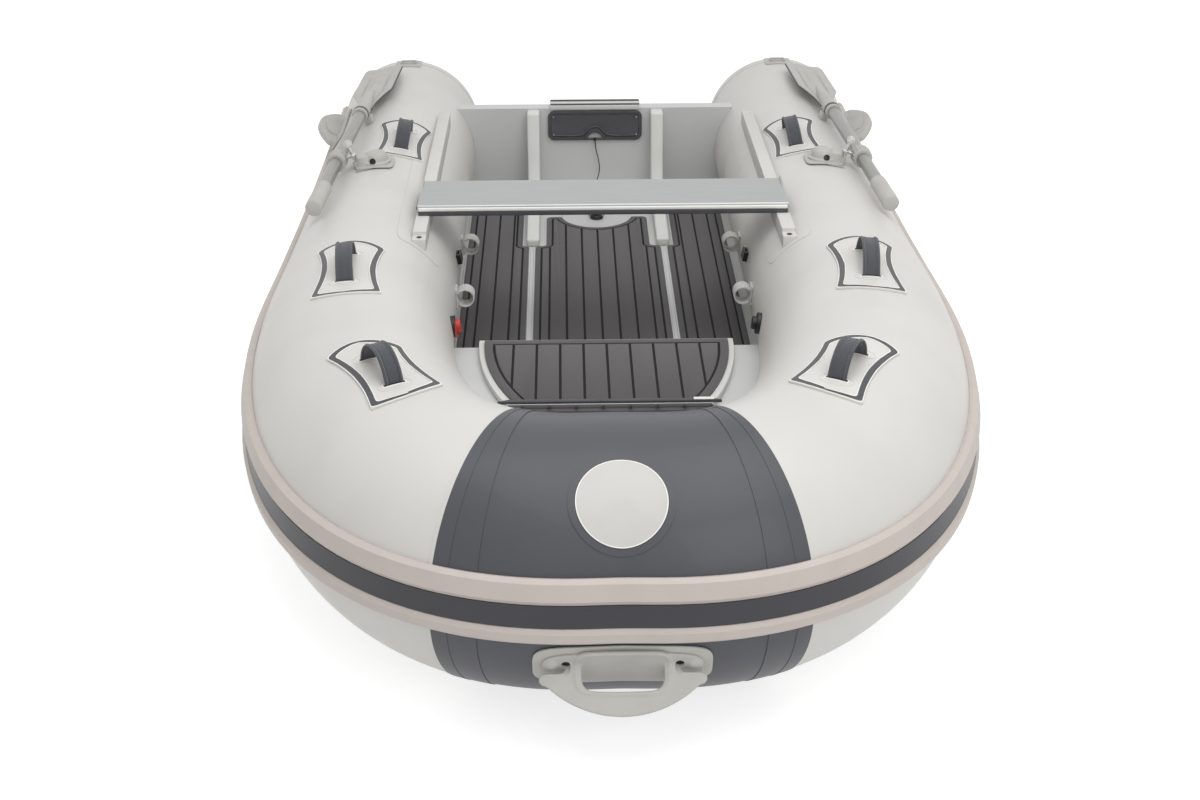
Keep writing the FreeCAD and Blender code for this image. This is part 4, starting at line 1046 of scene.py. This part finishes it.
# ---------------------------------------------------------------- the boat's pieces
class BOAT_OT_stage(bpy.types.Operator):
    """White floor at the waterline, even light and the camera"""
    bl_idname = "boat.stage"
    bl_label = "Stage, lamps and camera"

    def execute(self, context):
        scene, sizes = context.scene, context.scene.boat_stage
        bpy.ops.mesh.primitive_circle_add(vertices=64, radius=30, fill_type="NGON", location=(0, 0, -0.0005))
        floor = settle(started("floor"))
        shade = Shade("floor_white", rough=0.9)
        shade.skin.inputs["Base Color"].default_value = (0.80, 0.80, 0.80, 1)
        bright = shade.node("ShaderNodeBsdfPrincipled", {
            "Base Color": (0.46, 0.46, 0.46, 1), "Roughness": 0.9,
            "Emission Color": (0.74, 0.74, 0.74, 1), "Emission Strength": 1.0})
        mixed = shade.node("ShaderNodeMixShader", {0: shade.rays("Is Camera Ray", "Is Glossy Ray"),
                                                   1: Sock(shade, shade.skin.outputs[0]), 2: bright})
        shade.feed(shade.tree.nodes["Material Output"].inputs["Surface"], mixed)
        floor.data.materials.append(shade.material)

        scene.world = bpy.data.worlds.new("studio")
        scene.world.use_nodes = True
        sky = Tree(scene.world.node_tree)
        background = sky.tree.nodes["Background"].inputs
        background["Color"].default_value = (1, 1, 1, 1)
        clear = sky.rays("Is Camera Ray", "Is Glossy Ray", "Is Transmission Ray")
        strength = sky.node("ShaderNodeMapRange", {"Value": clear, "To Min": sizes.sky, "To Max": 1.0})
        sky.feed(background["Strength"], strength)

        for name, place, aim, power, size in (
            ("softbox", (0.4, -1.3, 4.0), (0, -0.6, 0), sizes.softbox, 4.0),
            ("front_fill", (2.2, -5.5, 3.2), (0, -1.0, 0.2), sizes.softbox * 0.62, 3.0),
        ):
            lamp = bpy.data.lights.new(name, "AREA")
            lamp.energy, lamp.size = power, size
            holder = linked(name, lamp)
            holder.location = place
            holder.rotation_euler = (Vector(aim) - Vector(place)).to_track_quat("-Z", "Y").to_euler()

        camera = bpy.data.cameras.new("camera")
        camera.sensor_width = 36.0
        camera.lens = sizes.lens
        camera.clip_start = 0.05
        scene.camera = linked("camera", camera)
        yaw, pitch, roll = 0.020, 0.463, -0.002
        ahead = Vector((math.sin(yaw) * math.cos(pitch), math.cos(yaw) * math.cos(pitch), -math.sin(pitch)))
        right = Vector((math.cos(yaw), -math.sin(yaw), 0))
        up = right.cross(ahead)
        tipped = math.cos(roll) * right + math.sin(roll) * up
        upright = math.cos(roll) * up - math.sin(roll) * right
        look = Matrix((tipped, upright, -ahead)).transposed().to_4x4()
        scene.camera.matrix_world = shift(*CAMERA_AT) @ look
        context.scene.view_settings.view_transform = "Standard"
        return {"FINISHED"}


class BOAT_OT_lanyard(bpy.types.Operator):
    """The drain plug's lanyard, with its plug and anchor"""
    bl_idname = "boat.lanyard"
    bl_label = "Drain plug and lanyard"

    def execute(self, context):
        # The route from the pad's notch to the plug's lever, as the frame has it: x, reach and height in mm
        route = [(0, 10, 179), (2, 15, 151), (11, 20, 121), (15, 26, 89), (8, 38, 59), (-8, 56, 34),
                 (-24, 86, 9), (-31, 120, 8), (-28, 150, 22)]
        points = [Vector((x / 1000, TRANSOM_Y - reach / 1000, DECK_Z + z / 1000)) for x, reach, z in route]
        points += [PLUG_FOOT + PLUG_LEAN * length for length in (0.076, 0.054)]
        cord = wire("lanyard_cord", points, 0.0016)
        cord.data.materials.append(finish_of("cord"))
        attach(cord, "hull")
        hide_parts("lanyard")

        seat = turned("plug_seat", [(0, 0), (20.5, 0), (21, 2), (19.5, 5.5), (12, 6), (10, 8), (9.5, 16), (7, 18),
                                    (0, 18)])
        placed(seat, shift(*PLUG_FOOT) @ shift(z=-0.012))
        lever = turned("plug_lever", [(0, -4), (5, -3), (6.2, 1), (5.8, 20), (6.4, 30), (6, 50), (4.5, 53.5),
                                      (0, 54)])
        placed(stretched(lever, 2.1, 1.4, 1), facing(PLUG_FOOT, PLUG_LEAN))
        dress(seat, "black", "dark_plastic", "drain_plug")
        dress(lever, "black", "dark_plastic")
        turns = [math.pi * step / 8 for step in range(9)]
        bail = wire_mesh("plug_bail", [PLUG_FOOT + Vector((0.026 * math.cos(a), 0.010 - 0.030 * math.sin(a), -0.004))
                                       for a in turns], 0.0012)
        dress(bail, "black", "steel")
        dress(from_node("lanyard_eye", "lanyard_anchor"), "black", "dark_plastic", "lanyard_anchor")
        return {"FINISHED"}


class BOAT_OT_tubes(bpy.types.Operator):
    """Air tubes with the bow panel's tapes and the cones' seams"""
    bl_idname = "boat.tubes"
    bl_label = "Air tubes"

    def execute(self, context):
        tape = context.scene.boat_fabric.tape
        paint("tube", *both("tube"), *both("stern_cone"))
        skin = tube_ring("panel_skin", PANEL_EDGE, 2 - PANEL_EDGE, 0.0, 0.0040, 96)
        dress(skin, "panel", "tube_dark", "tube_bow", angle=60)
        paint("plastic", "stern_caps")
        speed = along_tube(PANEL_EDGE).length
        stern = [(CONE_REACH - SHOULDER + run) / NOSE for run in (0.002, 0.034)]
        for side, sign in SIGNS.items():
            def span(low, high):
                return [s if sign > 0 else 2 - s for s in (PANEL_EDGE + low / speed, PANEL_EDGE + high / speed)]
            seam = stern if sign > 0 else [2 - s for s in stern[::-1]]
            for name, ends, lift, thick, columns, finish, slot in (
                ("panel_tape_", span(0.0004, tape), 0.0014, 0.0014, 4, "panel", "tube_dark"),
                ("panel_weld_", span(0.0004, tape * 0.36), 0.0022, 0.0010, 3, "panel", "tube_dark"),
                ("panel_edge_", span(-0.0040, 0.0004), 0.0016, 0.0016, 2, "tube", "tube_grey"),
                ("stern_tape_", seam, 0.0012, 0.0012, 2, "tube", "tube_grey"),
            ):
                dress(tube_ring(name + side, *ends, lift, thick, columns), finish, slot)
        return {"FINISHED"}


class BOAT_OT_strakes(bpy.types.Operator):
    """Rubbing strake in three bands"""
    bl_idname = "boat.strakes"
    bl_label = "Rubbing strake"

    def execute(self, context):
        paint("strake", "strake_upper", "strake_lower")
        paint("stripe", "strake_stripe")
        return {"FINISHED"}


class BOAT_OT_hull(bpy.types.Operator):
    """Hull, keel guard and bow eye"""
    bl_idname = "boat.hull"
    bl_label = "Hull"

    def execute(self, context):
        paint("gelcoat", "hull")
        paint("shaft", "keel_guard")
        paint("steel", "bow_eye")
        return {"FINISHED"}


class BOAT_OT_transom(bpy.types.Operator):
    """Transom with its braces, motor pads, screws and ribbed cap"""
    bl_idname = "boat.transom"
    bl_label = "Transom"

    def execute(self, context):
        paint("gelcoat", "transom")
        paint("diamond", "motor_pad_outer")
        for side in SIGNS:
            node = "transom_brace_" + side
            brace = from_node("brace_" + side, node)
            crown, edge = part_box(node)[1].z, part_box("transom")[1].z
            for vertex in brace.data.vertices:
                if vertex.co.z > crown - 0.004:
                    vertex.co.z = edge - 0.002
            dress(bevelled(brace, 0.006, 30, 3), "brace", "gelcoat", node)
        # The inner pad: a rim round a sunk diamond field, with a half-round notch below
        low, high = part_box("motor_pad_inner")
        pad = from_node("motor_pad_rim", "motor_pad_inner", 1.0)
        with editing(pad, some=lambda at, off: off.y < -0.9):
            bpy.ops.mesh.inset(thickness=0.010, depth=0.0)
            bpy.ops.mesh.inset(thickness=0.002, depth=-0.0025)
        dress(bevelled(pad, 0.0012, 40), "rubber", "dark_plastic", "motor_pad_inner")
        pad.data.materials.append(finish_of("diamond"))
        for face in pad.data.polygons:
            if face.normal.y < -0.99 and face.area > 0.004 and face.center.y > low.y + 0.0015:
                face.material_index = 1
        row = [(0.09, 0.55), (0.155, 0.66), (0.21, 0.76), (0.30, 0.82), (0.45, 0.845), (0.65, 0.845), (0.88, 0.83)]
        line = [Vector((u * high.x, low.y - 0.0006, high.z - v * (high.z - low.z)))
                for u, v in mirrored(row) + [(0, 0.52)] + row]
        ridge = wire_mesh("pad_ridge", line, 0.0026)
        sill = cube("pad_sill", (-0.046, low.y - 0.0002, low.z), (0.046, high.y, low.z + 0.0062), 0.0015)
        dress(joined("pad_ridge", ridge, sill), "rubber", "dark_plastic", angle=50)
        screws = []
        for x in (-0.134, 0.134):
            for z in (low.z + 0.020, high.z - 0.020):
                screw = turned("pad_screw", [(0, 1.6), (1.6, 1.2), (2.2, 2), (4.2, 1.8), (4.8, 0.8), (5, 0)], 20)
                screws.append(placed(screw, shift(x, low.y, z) @ turn(90, "X")))
        dress(joined("pad_screws", *screws), "steel", "steel")
        # The cap over the transom's edge, with two ribs
        low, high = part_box("transom_cap")
        cap = bevelled(from_node("transom_cap_body", "transom_cap"), 0.0025, 40, 3)
        dress(cap, "brace", "dark_plastic", "transom_cap")
        ribs = []
        for share in (0.12, 0.88):
            y = low.y + (high.y - low.y) * share
            ribs.append(cube("cap_rib", (low.x + 0.002, y - 0.0050, high.z - 0.003),
                             (high.x - 0.002, y + 0.0050, high.z + 0.0036), 0.0018))
        dress(joined("transom_cap_ribs", *ribs), "rubber", "dark_plastic")
        return {"FINISHED"}


class BOAT_OT_drain(bpy.types.Operator):
    """Drain well with its raised lip"""
    bl_idname = "boat.drain"
    bl_label = "Drain well"

    def execute(self, context):
        well = from_node("well", "drain_well", 1.0)
        with editing(well, some=lambda at, off: off.z > 0.9):
            bpy.ops.mesh.inset(thickness=0.006, depth=0.0)
            bpy.ops.mesh.inset(thickness=0.003, depth=-0.0022)
        dress(bevelled(well, 0.0010, 30), "gelcoat", "gelcoat", "drain_well")
        return {"FINISHED"}


class BOAT_OT_deck_pads(bpy.types.Operator):
    """Foam decking on the deck"""
    bl_idname = "boat.deck_pads"
    bl_label = "Deck pads"

    def execute(self, context):
        sizes = context.scene.boat_deck
        first, pitch = SIDE_GROOVES
        side = [first + pitch * k for k in range(3)]
        lips = []
        for name, lines in (("centre", [sizes.plank * k for k in range(-3, 4)]), ("port", side),
                            ("starboard", [-x for x in side])):
            decking("planks_" + name, "deck_pad_" + name, lines, sizes.border, sizes)
            row = [Vector((p.x, p.y, DECK_Z + sizes.lip_height)) for p in rim("deck_pad_" + name)]
            lip = framed("pad_lip_" + name, drawn_in(row, -sizes.lip_gap - sizes.lip), drawn_in(row, -sizes.lip_gap))
            lips.append(bevelled(thickened(lip, sizes.lip_height + 0.0006), 0.0011))
        dress(joined("pad_lips", *lips), "gelcoat", "gelcoat", angle=50)
        return {"FINISHED"}


class BOAT_OT_bow_deck(bpy.types.Operator):
    """Bow deck, its locker lid, hinge and decking"""
    bl_idname = "boat.bow_deck"
    bl_label = "Bow deck and locker"

    def execute(self, context):
        sizes = context.scene.boat_deck
        paint("gelcoat", "bow_deck")
        lid = bevelled(from_node("lid", "locker_lid", 1.0), 0.0022, 50, 3)
        dress(lid, "brace", "gelcoat", "locker_lid", body="locker_lid")
        lines = [sizes.lid_plank * k for k in range(-4, 5)]
        decking("lid_planks", "lid_pad", lines, 0.021, sizes, "locker_lid", open_front=True)
        first, pitch = FORE_GROOVES
        lines = [first + pitch * k for k in range(-3, 5)]
        decking("fore_planks", "fore_pad", lines, 0.0, sizes)
        hinge = bevelled(from_node("hinge", "lid_hinge", 1.0), 0.0015)
        dress(hinge, "foam", "dark_plastic", "lid_hinge")
        # What stands on the lid beside the hinge keeps back from it, so that it clears it when it swings
        low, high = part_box("lid_hinge")
        lid_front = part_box("locker_lid")[0].y
        pad_low, pad_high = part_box("lid_pad")
        leaf = cube("hinge_leaf", (-0.262, lid_front + 0.0040, pad_low.z - 0.001),
                    (0.262, pad_low.y + 0.0030, pad_high.z + 0.0010), 0.0020)
        for vertex in leaf.data.vertices:
            if abs(vertex.co.x) > 0.255 and vertex.co.y > pad_low.y:
                vertex.co.x -= math.copysign(0.024, vertex.co.x)
        dress(leaf, "rubber", "dark_plastic", body="locker_lid")
        tab = cube("lid_tab", (0.196, lid_front + 0.0065, pad_high.z + 0.0006),
                   (0.244, pad_low.y + 0.0044, pad_high.z + 0.0022), 0.0007)
        dress(tab, "piping", "light_plastic", body="locker_lid")
        cuts = [cube("hinge_cut", (x - 0.0032, low.y + 0.001, high.z - 0.001),
                     (x + 0.0032, high.y - 0.014, high.z + 0.0003)) for x in lines]
        dress(joined("hinge_cuts", *cuts), "groove", "dark_plastic")
        return {"FINISHED"}


class BOAT_OT_bench(bpy.types.Operator):
    """Bench plank with its end caps and shoes, a near-white strip painted as the highlight along its front edge and
    a dark strip painted as the shade under it
    """
    bl_idname = "boat.bench"
    bl_label = "Bench"

    def execute(self, context):
        paint("bench", "bench")
        paint("rubber", "bench_shoes")
        points = [vertex.co for vertex in nodes["bench"].data.vertices]
        low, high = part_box("bench")
        fore = min(points, key=lambda p: p.y)
        aft = max(points, key=lambda p: p.y)
        # What the plank's box is higher than the plank is thick comes from its tilt
        tilt = math.asin(min(1.0, (high.z - low.z - BENCH_THICK) / max(high.y - low.y, 1e-6)))
        place = shift(*(low + high) / 2) @ Matrix.Rotation(-tilt if fore.z > aft.z else tilt, 4, "X")
        half, depth = high.x, (high.y - low.y) / 2
        rows = [("bench_cap_" + side, (sign * half - 0.0015, -depth + 0.001, -0.0112),
                 (sign * half + 0.0045, depth - 0.001, 0.0112), 0.0022, 2, "plastic", "light_plastic")
                for side, sign in SIGNS.items()]
        # On the front face a near-white strip above is a painted highlight along the edge, and a dark rubber strip
        # below is painted shade under it
        rows += [("bench_trim", (-half + 0.002, -depth - 0.0020, 0.0016), (half - 0.002, -depth + 0.006, 0.0118),
                  0.0030, 3, "edge", "aluminium"),
                 ("bench_seal", (-half + 0.002, -depth - 0.0012, -0.0114), (half - 0.002, -depth + 0.006, 0.0010),
                  0.0012, 2, "rubber", "dark_plastic")]
        for *block, finish, slot in rows:
            dress(placed(cube(*block), place), finish, slot, body="bench")
        return {"FINISHED"}


class BOAT_OT_rails(bpy.types.Operator):
    """Seat rails with the fabric that holds them"""
    bl_idname = "boat.rails"
    bl_label = "Seat rails"

    def execute(self, context):
        for side in SIGNS:
            node = "seat_rail_" + side
            rail = bevelled(from_node("rail_" + side, node, 1.0), 0.0025, 40)
            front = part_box(node)[0].y + 0.035
            tips = [face for face in rail.data.polygons if face.center.y < front and face.normal.z > 0.5]
            tip = max(tips, key=lambda face: face.area)
            # A flat black disc on the rail's pointed tip: painted shade of the hole there
            screw = rod("rail_screw_" + side, 0.0065, 0.0012, 28, 0.0004)
            dress(placed(screw, facing(tip.center, tip.normal)), "black", "dark_plastic")
            dress(rail, "tube", "tube_grey", node)
        s = s_at(RAIL_REACH)
        tilt = math.degrees(math.acos((HALF_BREADTH - RAIL_X) / tube_radius(s)))
        width = context.scene.boat_fabric.rail_flap * 2 + 0.034
        flap = tube_patch("rail_flap_port", s, 180 - tilt, width, RAIL_LENGTH, 0.0016, 0.0016,
                          squircle(width, RAIL_LENGTH, 14.0), (14, 60))
        dress_both(flap, "tube", "tube_grey")
        return {"FINISHED"}


class BOAT_OT_straps(bpy.types.Operator):
    """Lifting straps on their outlined patches"""
    bl_idname = "boat.straps"
    bl_label = "Lifting straps"

    def execute(self, context):
        sizes = context.scene.boat_fabric
        side, end, line = sizes.outline, sizes.outline_ends, sizes.outline_highlight
        edge = 0.0030
        made = {"bands": [], "lines": [], "webbing": [], "slits": [], "ovals": []}

        def lay(key, piece, lift, thick):
            made[key].append(pressed_on(piece, place, "tube_port", lift, thick))

        for spot in PATCHES.values():
            s, half = s_at(spot[0]), sizes.strap_share * spot[4] / 2
            place = on_tube(s, spot[1])
            band = ring_of("band", patch_outline(spot, edge, edge), patch_outline(spot, edge + side, edge + end))
            lay("bands", band, 0.0047, 0.0012)
            # The thin near-white rings on both sides of each dark band are painted highlights along the band's edges
            for across, along in ((edge - line, edge - line), (edge + side, edge + end)):
                thin = ring_of("line", patch_outline(spot, across, along),
                               patch_outline(spot, across + line, along + line))
                lay("lines", thin, 0.0051, 0.0016)
            made["webbing"].append(webbing_arch(on_tube(s, spot[1], 0.0036), sizes, half))
            for sign in (-1, 1):
                for long, lift, key in ((0.0035, 0.0052, "slits"), (0.0065, 0.0045, "lines")):
                    wide = sizes.strap_width / 2 + long - 0.0015
                    row = [Vector((u * wide, sign * half + v * long, 0))
                           for u, v in ((-1, -1), (1, -1), (1, 1), (-1, 1))]
                    foot = loop_of("foot", row, "NGON")
                    with editing(foot):
                        bpy.ops.mesh.subdivide(number_cuts=5)
                    lay(key, foot, lift, 0.0012)
                for share in (1.0, 0.62):
                    outer, inner = (oval(0.037 * share - cut, 0.024 * share - cut, sign * (half + 0.002))
                                    for cut in (0, 0.0013))
                    lay("ovals", ring_of("oval", outer, inner), 0.0041, 0.0010)
        for key, finish, slot, stands_for in (
            ("bands", "outline", "webbing", None), ("lines", "piping", "tube_grey", None),
            ("webbing", "webbing", "webbing", "straps"), ("slits", "black", "webbing", None),
            ("ovals", "patch", "tube_grey", None),
        ):
            dress_both(joined("strap_%s_port" % key, *made[key]), finish, slot, stands_for)
        paint("patch", *both("strap_patches"))
        return {"FINISHED"}


class BOAT_OT_handles(bpy.types.Operator):
    """Moulded carry handles at the bow and quarters"""
    bl_idname = "boat.handles"
    bl_label = "Carry handles"

    def execute(self, context):
        place = on_tube(1.0, BOW_HANDLE_AT)
        low_plate = place @ shift(-0.014)
        plate = bevelled(grip_plate("bow_plate", low_plate, 0.114, 0.340, 4.5, 0.0052, 0.0045), 0.0014, 50, 3)
        boss = grip_plate("bow_boss", low_plate, 0.088, 0.306, 3.6, 0.0100, 0.0060)
        lean = place @ turn(BAR_LEAN, "Y")
        bar = crescent("bow_bar", lean)
        # The slot's raised rim, in mm: on the plate above it and round its corners, and on the bar below it
        above = [(33, 66), (33.5, 0), (33, -66), (29, -80), (17, -86.5), (2, -88.5)]
        below = [(40, 64.5), (74, 61), (85.5, 49), (88, 33)]
        around = [place @ (Vector((x, y, 10.5)) / 1000) for x, y in above]
        around += [lean @ (Vector((8.5, y, z)) / 1000) for y, z in mirrored(below) + below]
        around += [place @ (Vector((x, -y, 10.5)) / 1000) for x, y in above[:2:-1]]
        slot_rim = wire_mesh("bow_slot_rim", around, 0.0052, closed=True)
        bulges = [placed(stretched(ball("bow_bulge", 0.015, 24, 12), 1.0, 0.95, 0.62),
                         place @ shift(-0.002, side * 0.135, 0.0080)) for side in (-1, 1)]
        grip = joined("bow_grip", boss, bar, slot_rim, *bulges)
        moulding(grip, 0.0022, 5)
        # Each drilled hole gets a black disc near its bottom: painted shade down the hole
        hole_shades = []
        for side in (-1, 1):
            spot = place @ shift(0.002, side * 0.107, 0.0020)
            carved(grip, placed(rod("drill", 0.0088, 0.040), spot))
            hole_shades.append(placed(rod("bow_hole", 0.0088, 0.0030), spot @ shift(z=0.0020)))
        dress(grip, "plastic", "light_plastic", "bow_handle", angle=50)
        dress(plate, "plastic", "light_plastic", angle=60)
        dress(joined("bow_holes", *hole_shades), "black", "dark_plastic")
        # A recessed web closes each quarter handle's loop
        row = [(50, 46), (72, 30), (72, 2)]
        row = [Vector((-3, y, z)) / 1000 for y, z in mirrored(row) + [(0, 56)] + row]
        web = loop_of("quarter_web_port", row, "NGON")
        outwards(thickened(web, 0.005))
        placed(web, on_tube(s_at(QUARTER_REACH), QUARTER_AT) @ turn(WEB_LEAN, "Y"))
        dress_both(web, "plastic", "light_plastic", angle=40)
        for side in SIGNS:
            quarter = from_node("quarter_grip_" + side, "quarter_handle_" + side, 0)
            moulding(quarter, 0.0028, 7)
            dress(quarter, "plastic", "light_plastic", "quarter_handle_" + side, angle=60)
        return {"FINISHED"}


class BOAT_OT_oars(bpy.types.Operator):
    """Oars with their blades, grips, collars and knobs"""
    bl_idname = "boat.oars"
    bl_label = "Oars"

    def execute(self, context):
        count = context.scene.boat_stage.ribs
        paint("shaft", *both("oar_shaft"))
        place = oar_place()
        along = turn(-90, "X")
        flat = place @ turn(BLADE_LEAN, "Y")
        blade = placed(blade_mesh("blade_port"), flat)
        # A dark rubber wire just below the blade's inner edge: painted shade of the blade's underside
        line = [on_blade(-1, i / 20) + Vector((-0.0006, 0, -0.0046)) for i in range(1, 20)]
        edge = placed(wire_mesh("blade_edge_port", line, 0.0026), flat)
        grip = turned("grip_port", [(0, 0), (18, 0.2), (20.8, 1.5), (22.1, 5), (22.3, 30), (21.7, 90), (22.1, 150),
                                    (21.6, 163), (19, 165), (18.2, 164)])
        placed(grip, place @ shift(y=GRIP_END) @ along)
        # A ribbed collar on the shaft, the steel fork from it to the pin, and the pin's clear knob
        parts = [turned("collar", [(18.2, -25), (25.2, -25), (26.3, -23.5), (26.3, 23.5), (25.2, 25), (18.2, 25)])]
        for step in range(count):
            rib = cube("rib", (0.0256, -0.0019, -0.0205), (0.0281, 0.0019, 0.0205), 0.0009, 1)
            parts.append(placed(rib, Matrix.Rotation(math.tau * step / count, 4, "Z")))
        collar = placed(joined("collar_port", *parts), place @ along)
        fork = cube("fork", (-PIN_OFFSET, -0.0105, -0.0035), (-0.022, 0.0105, 0.0035), 0.0016)
        head = placed(rod("fork_head", 0.0115, 0.0075, 28, 0.0015), shift(-PIN_OFFSET, 0, -0.0038))
        pin = placed(rod("pin", 0.0049, 0.063, 24, 0.0008), shift(-PIN_OFFSET, 0, -0.0348))
        fork = placed(joined("fork_port", fork, head, pin), place)
        knob = settle(ball("knob_port", 0.0120, 28, 16))
        with editing(knob, some=lambda at, off: off.z < -0.85):
            bpy.ops.transform.translate(value=(0, 0, 0.003))
        placed(knob, place @ shift(-PIN_OFFSET, 0, 0.0340))
        strap = turned("blade_strap_port", [(18.2, -13), (22.8, -13), (24.4, -8), (24.4, 1), (18.2, 1)])
        lip = turned("blade_lip_port", [(18.2, -8), (23.2, -8), (23.8, -6), (23.8, 4), (18.2, 4)])
        placed(strap, place @ shift(y=BLADE_START - 0.034) @ along)
        placed(lip, place @ shift(y=BLADE_START - 0.051) @ along)
        for piece, finish, slot, stands_for in (
            (blade, "plastic", "light_plastic", "oar_blade"), (grip, "plastic", "light_plastic", "oar_grip"),
            (collar, "plastic", "light_plastic", "oarlock"), (fork, "steel", "steel", None),
            (knob, "clear", "light_plastic", None), (strap, "rubber", "dark_plastic", None),
            (edge, "rubber", "dark_plastic", None), (lip, "plastic", "light_plastic", None),
        ):
            dress_both(piece, finish, slot, stands_for, "oar_")
        return {"FINISHED"}


class BOAT_OT_rowlocks(bpy.types.Operator):
    """Rowlock domes and the clips that hold the oars"""
    bl_idname = "boat.rowlocks"
    bl_label = "Rowlocks and clips"

    def execute(self, context):
        for side in SIGNS:
            clip = bevelled(from_node("shaft_clip_" + side, "oar_clip_" + side, 0), 0.0008, 40)
            dress(clip, "plastic", "light_plastic", "oar_clip_" + side)
        # The dome stands inboard of the arm that reaches out to the pin's barrel
        s = s_at(PIN_REACH)
        seat, place = on_tube(s, ROWLOCK_SEAT_AT), on_tube(s, ROWLOCK_DOME_AT)
        arm = placed(from_node("rowlock_port", "rowlock_port", 0), seat.inverted())
        cut_across(arm, Vector((0, 0, 1)), low=0.0015)
        with editing(arm, "EDGE"):
            bpy.ops.mesh.fill_holes(sides=0)
        placed(arm, seat)
        patch = tube_patch("rowlock_patch_port", s, ROWLOCK_PATCH_AT, 0.104, 0.112, 0.0064, 0.0030,
                           squircle(0.102, 0.112, 4.5))
        bevelled(patch, 0.0010)
        ring = turned("rowlock_ring", [(33, 2), (39.5, 4), (40, 8.5), (38.5, 10), (35, 10), (33, 8)], 48)
        dome = turned("rowlock_dome", [(0, -4), (32, -4), (32.5, 12), (31.5, 21), (28.5, 29), (23.5, 34), (15, 37),
                                       (0, 38)], 48)
        whole = joined("rowlock_dome_port", arm, placed(ring, place), placed(dome, place))
        moulding(whole, 0.0016, 4)
        mouth = place @ facing((-0.008, 0.0315, 0.0150), (-0.14, 0.90, 0.30))
        carved(whole, placed(rod("drill", 0.0095, 0.020, 36), mouth @ shift(z=-0.009)))
        # A black disc down the drilled mouth: painted shade in the hole
        hole_shade = placed(rod("rowlock_hole_port", 0.0094, 0.0020, 36, 0.0004), mouth @ shift(z=-0.0085))
        dress_both(whole, "plastic", "light_plastic", "rowlock", angle=50)
        dress_both(patch, "plastic", "light_plastic", angle=50)
        dress_both(hole_shade, "black", "dark_plastic", angle=50)
        return {"FINISHED"}


class BOAT_OT_fittings(bpy.types.Operator):
    """Blank badge, stern rings, side loops, valves and cleats"""
    bl_idname = "boat.fittings"
    bl_label = "Small fittings"

    def execute(self, context):
        paint("plastic", "stern_rings")
        paint("black", "valves", "line_cleats")
        paint("light_webbing", "side_loops")
        # The red caps are the inboard half of what there is of the valves to starboard
        caps = from_node("valve_caps", "valves", 0)
        across = Vector((1, 0, 0))
        cut_across(caps, across, high=0)
        ends = [vertex.co.x for vertex in caps.data.vertices]
        cut_across(caps, across, low=(min(ends) + max(ends)) / 2)
        with editing(caps, "EDGE"):
            bpy.ops.mesh.fill_holes(sides=0)
            bpy.ops.mesh.select_all(action="SELECT")
            bpy.ops.transform.shrink_fatten(value=0.0014)
        dress(caps, "red", "light_plastic")
        for name, inner, outer, height, finish, *stands_for in (
            ("badge_patch", 0, 0.1010, 0.0018, "panel", "badge"), ("badge_line", 0.0855, 0.0882, 0.0022, "stripe"),
            ("badge_disc", 0, 0.0868, 0.0026, "disc"), ("badge_rim", 0.0846, 0.0866, 0.0031, "piping"),
        ):
            if inner:
                piece = ring_of(name, oval(outer, outer, 0, 120), oval(inner, inner, 0, 120))
            else:
                bpy.ops.mesh.primitive_circle_add(vertices=120, radius=outer, fill_type="NOTHING")
                piece = started(name)
                with editing(piece, "EDGE"):
                    bpy.ops.mesh.fill_grid(span=30)
            pressed_on(piece, on_tube(1.0, BADGE_AT), "panel_skin", height, 0.0012)
            dress(piece, finish, "light_plastic", *stands_for)
        return {"FINISHED"}


OPERATORS = (
    BOAT_OT_stage, BOAT_OT_lanyard, BOAT_OT_tubes, BOAT_OT_strakes, BOAT_OT_hull, BOAT_OT_transom,
    BOAT_OT_drain, BOAT_OT_deck_pads, BOAT_OT_bow_deck, BOAT_OT_bench, BOAT_OT_rails, BOAT_OT_straps,
    BOAT_OT_handles, BOAT_OT_oars, BOAT_OT_rowlocks, BOAT_OT_fittings,
)
GROUPS = {"boat_colours": BoatColours, "boat_deck": DeckSizes, "boat_fabric": FabricSizes, "boat_stage": StageSizes}


class BOAT_PT_dressing(bpy.types.Panel):
    """The boat's pieces, in the order in which they are made"""
    bl_label = "Inflatable boat"
    bl_idname = "BOAT_PT_dressing"
    bl_space_type = "VIEW_3D"
    bl_region_type = "UI"
    bl_category = "Boat"

    def draw(self, context):
        layout = self.layout
        for key, group in GROUPS.items():
            box = layout.box()
            for field in group.__annotations__:
                box.prop(getattr(context.scene, key), field)
        for operator in OPERATORS:
            layout.operator(operator.bl_idname)


def register():
    for key, group in GROUPS.items():
        bpy.utils.register_class(group)
        setattr(bpy.types.Scene, key, PointerProperty(type=group))
    for made in (*OPERATORS, BOAT_PT_dressing):
        bpy.utils.register_class(made)


def unregister():
    for made in (BOAT_PT_dressing, *reversed(OPERATORS)):
        bpy.utils.unregister_class(made)
    for key, group in reversed(GROUPS.items()):
        delattr(bpy.types.Scene, key)
        bpy.utils.unregister_class(group)


def main():
    register()
    for operator in OPERATORS:
        group, name = operator.bl_idname.split(".")
        getattr(getattr(bpy.ops, group), name)()


if __name__ == "__main__":
    main()
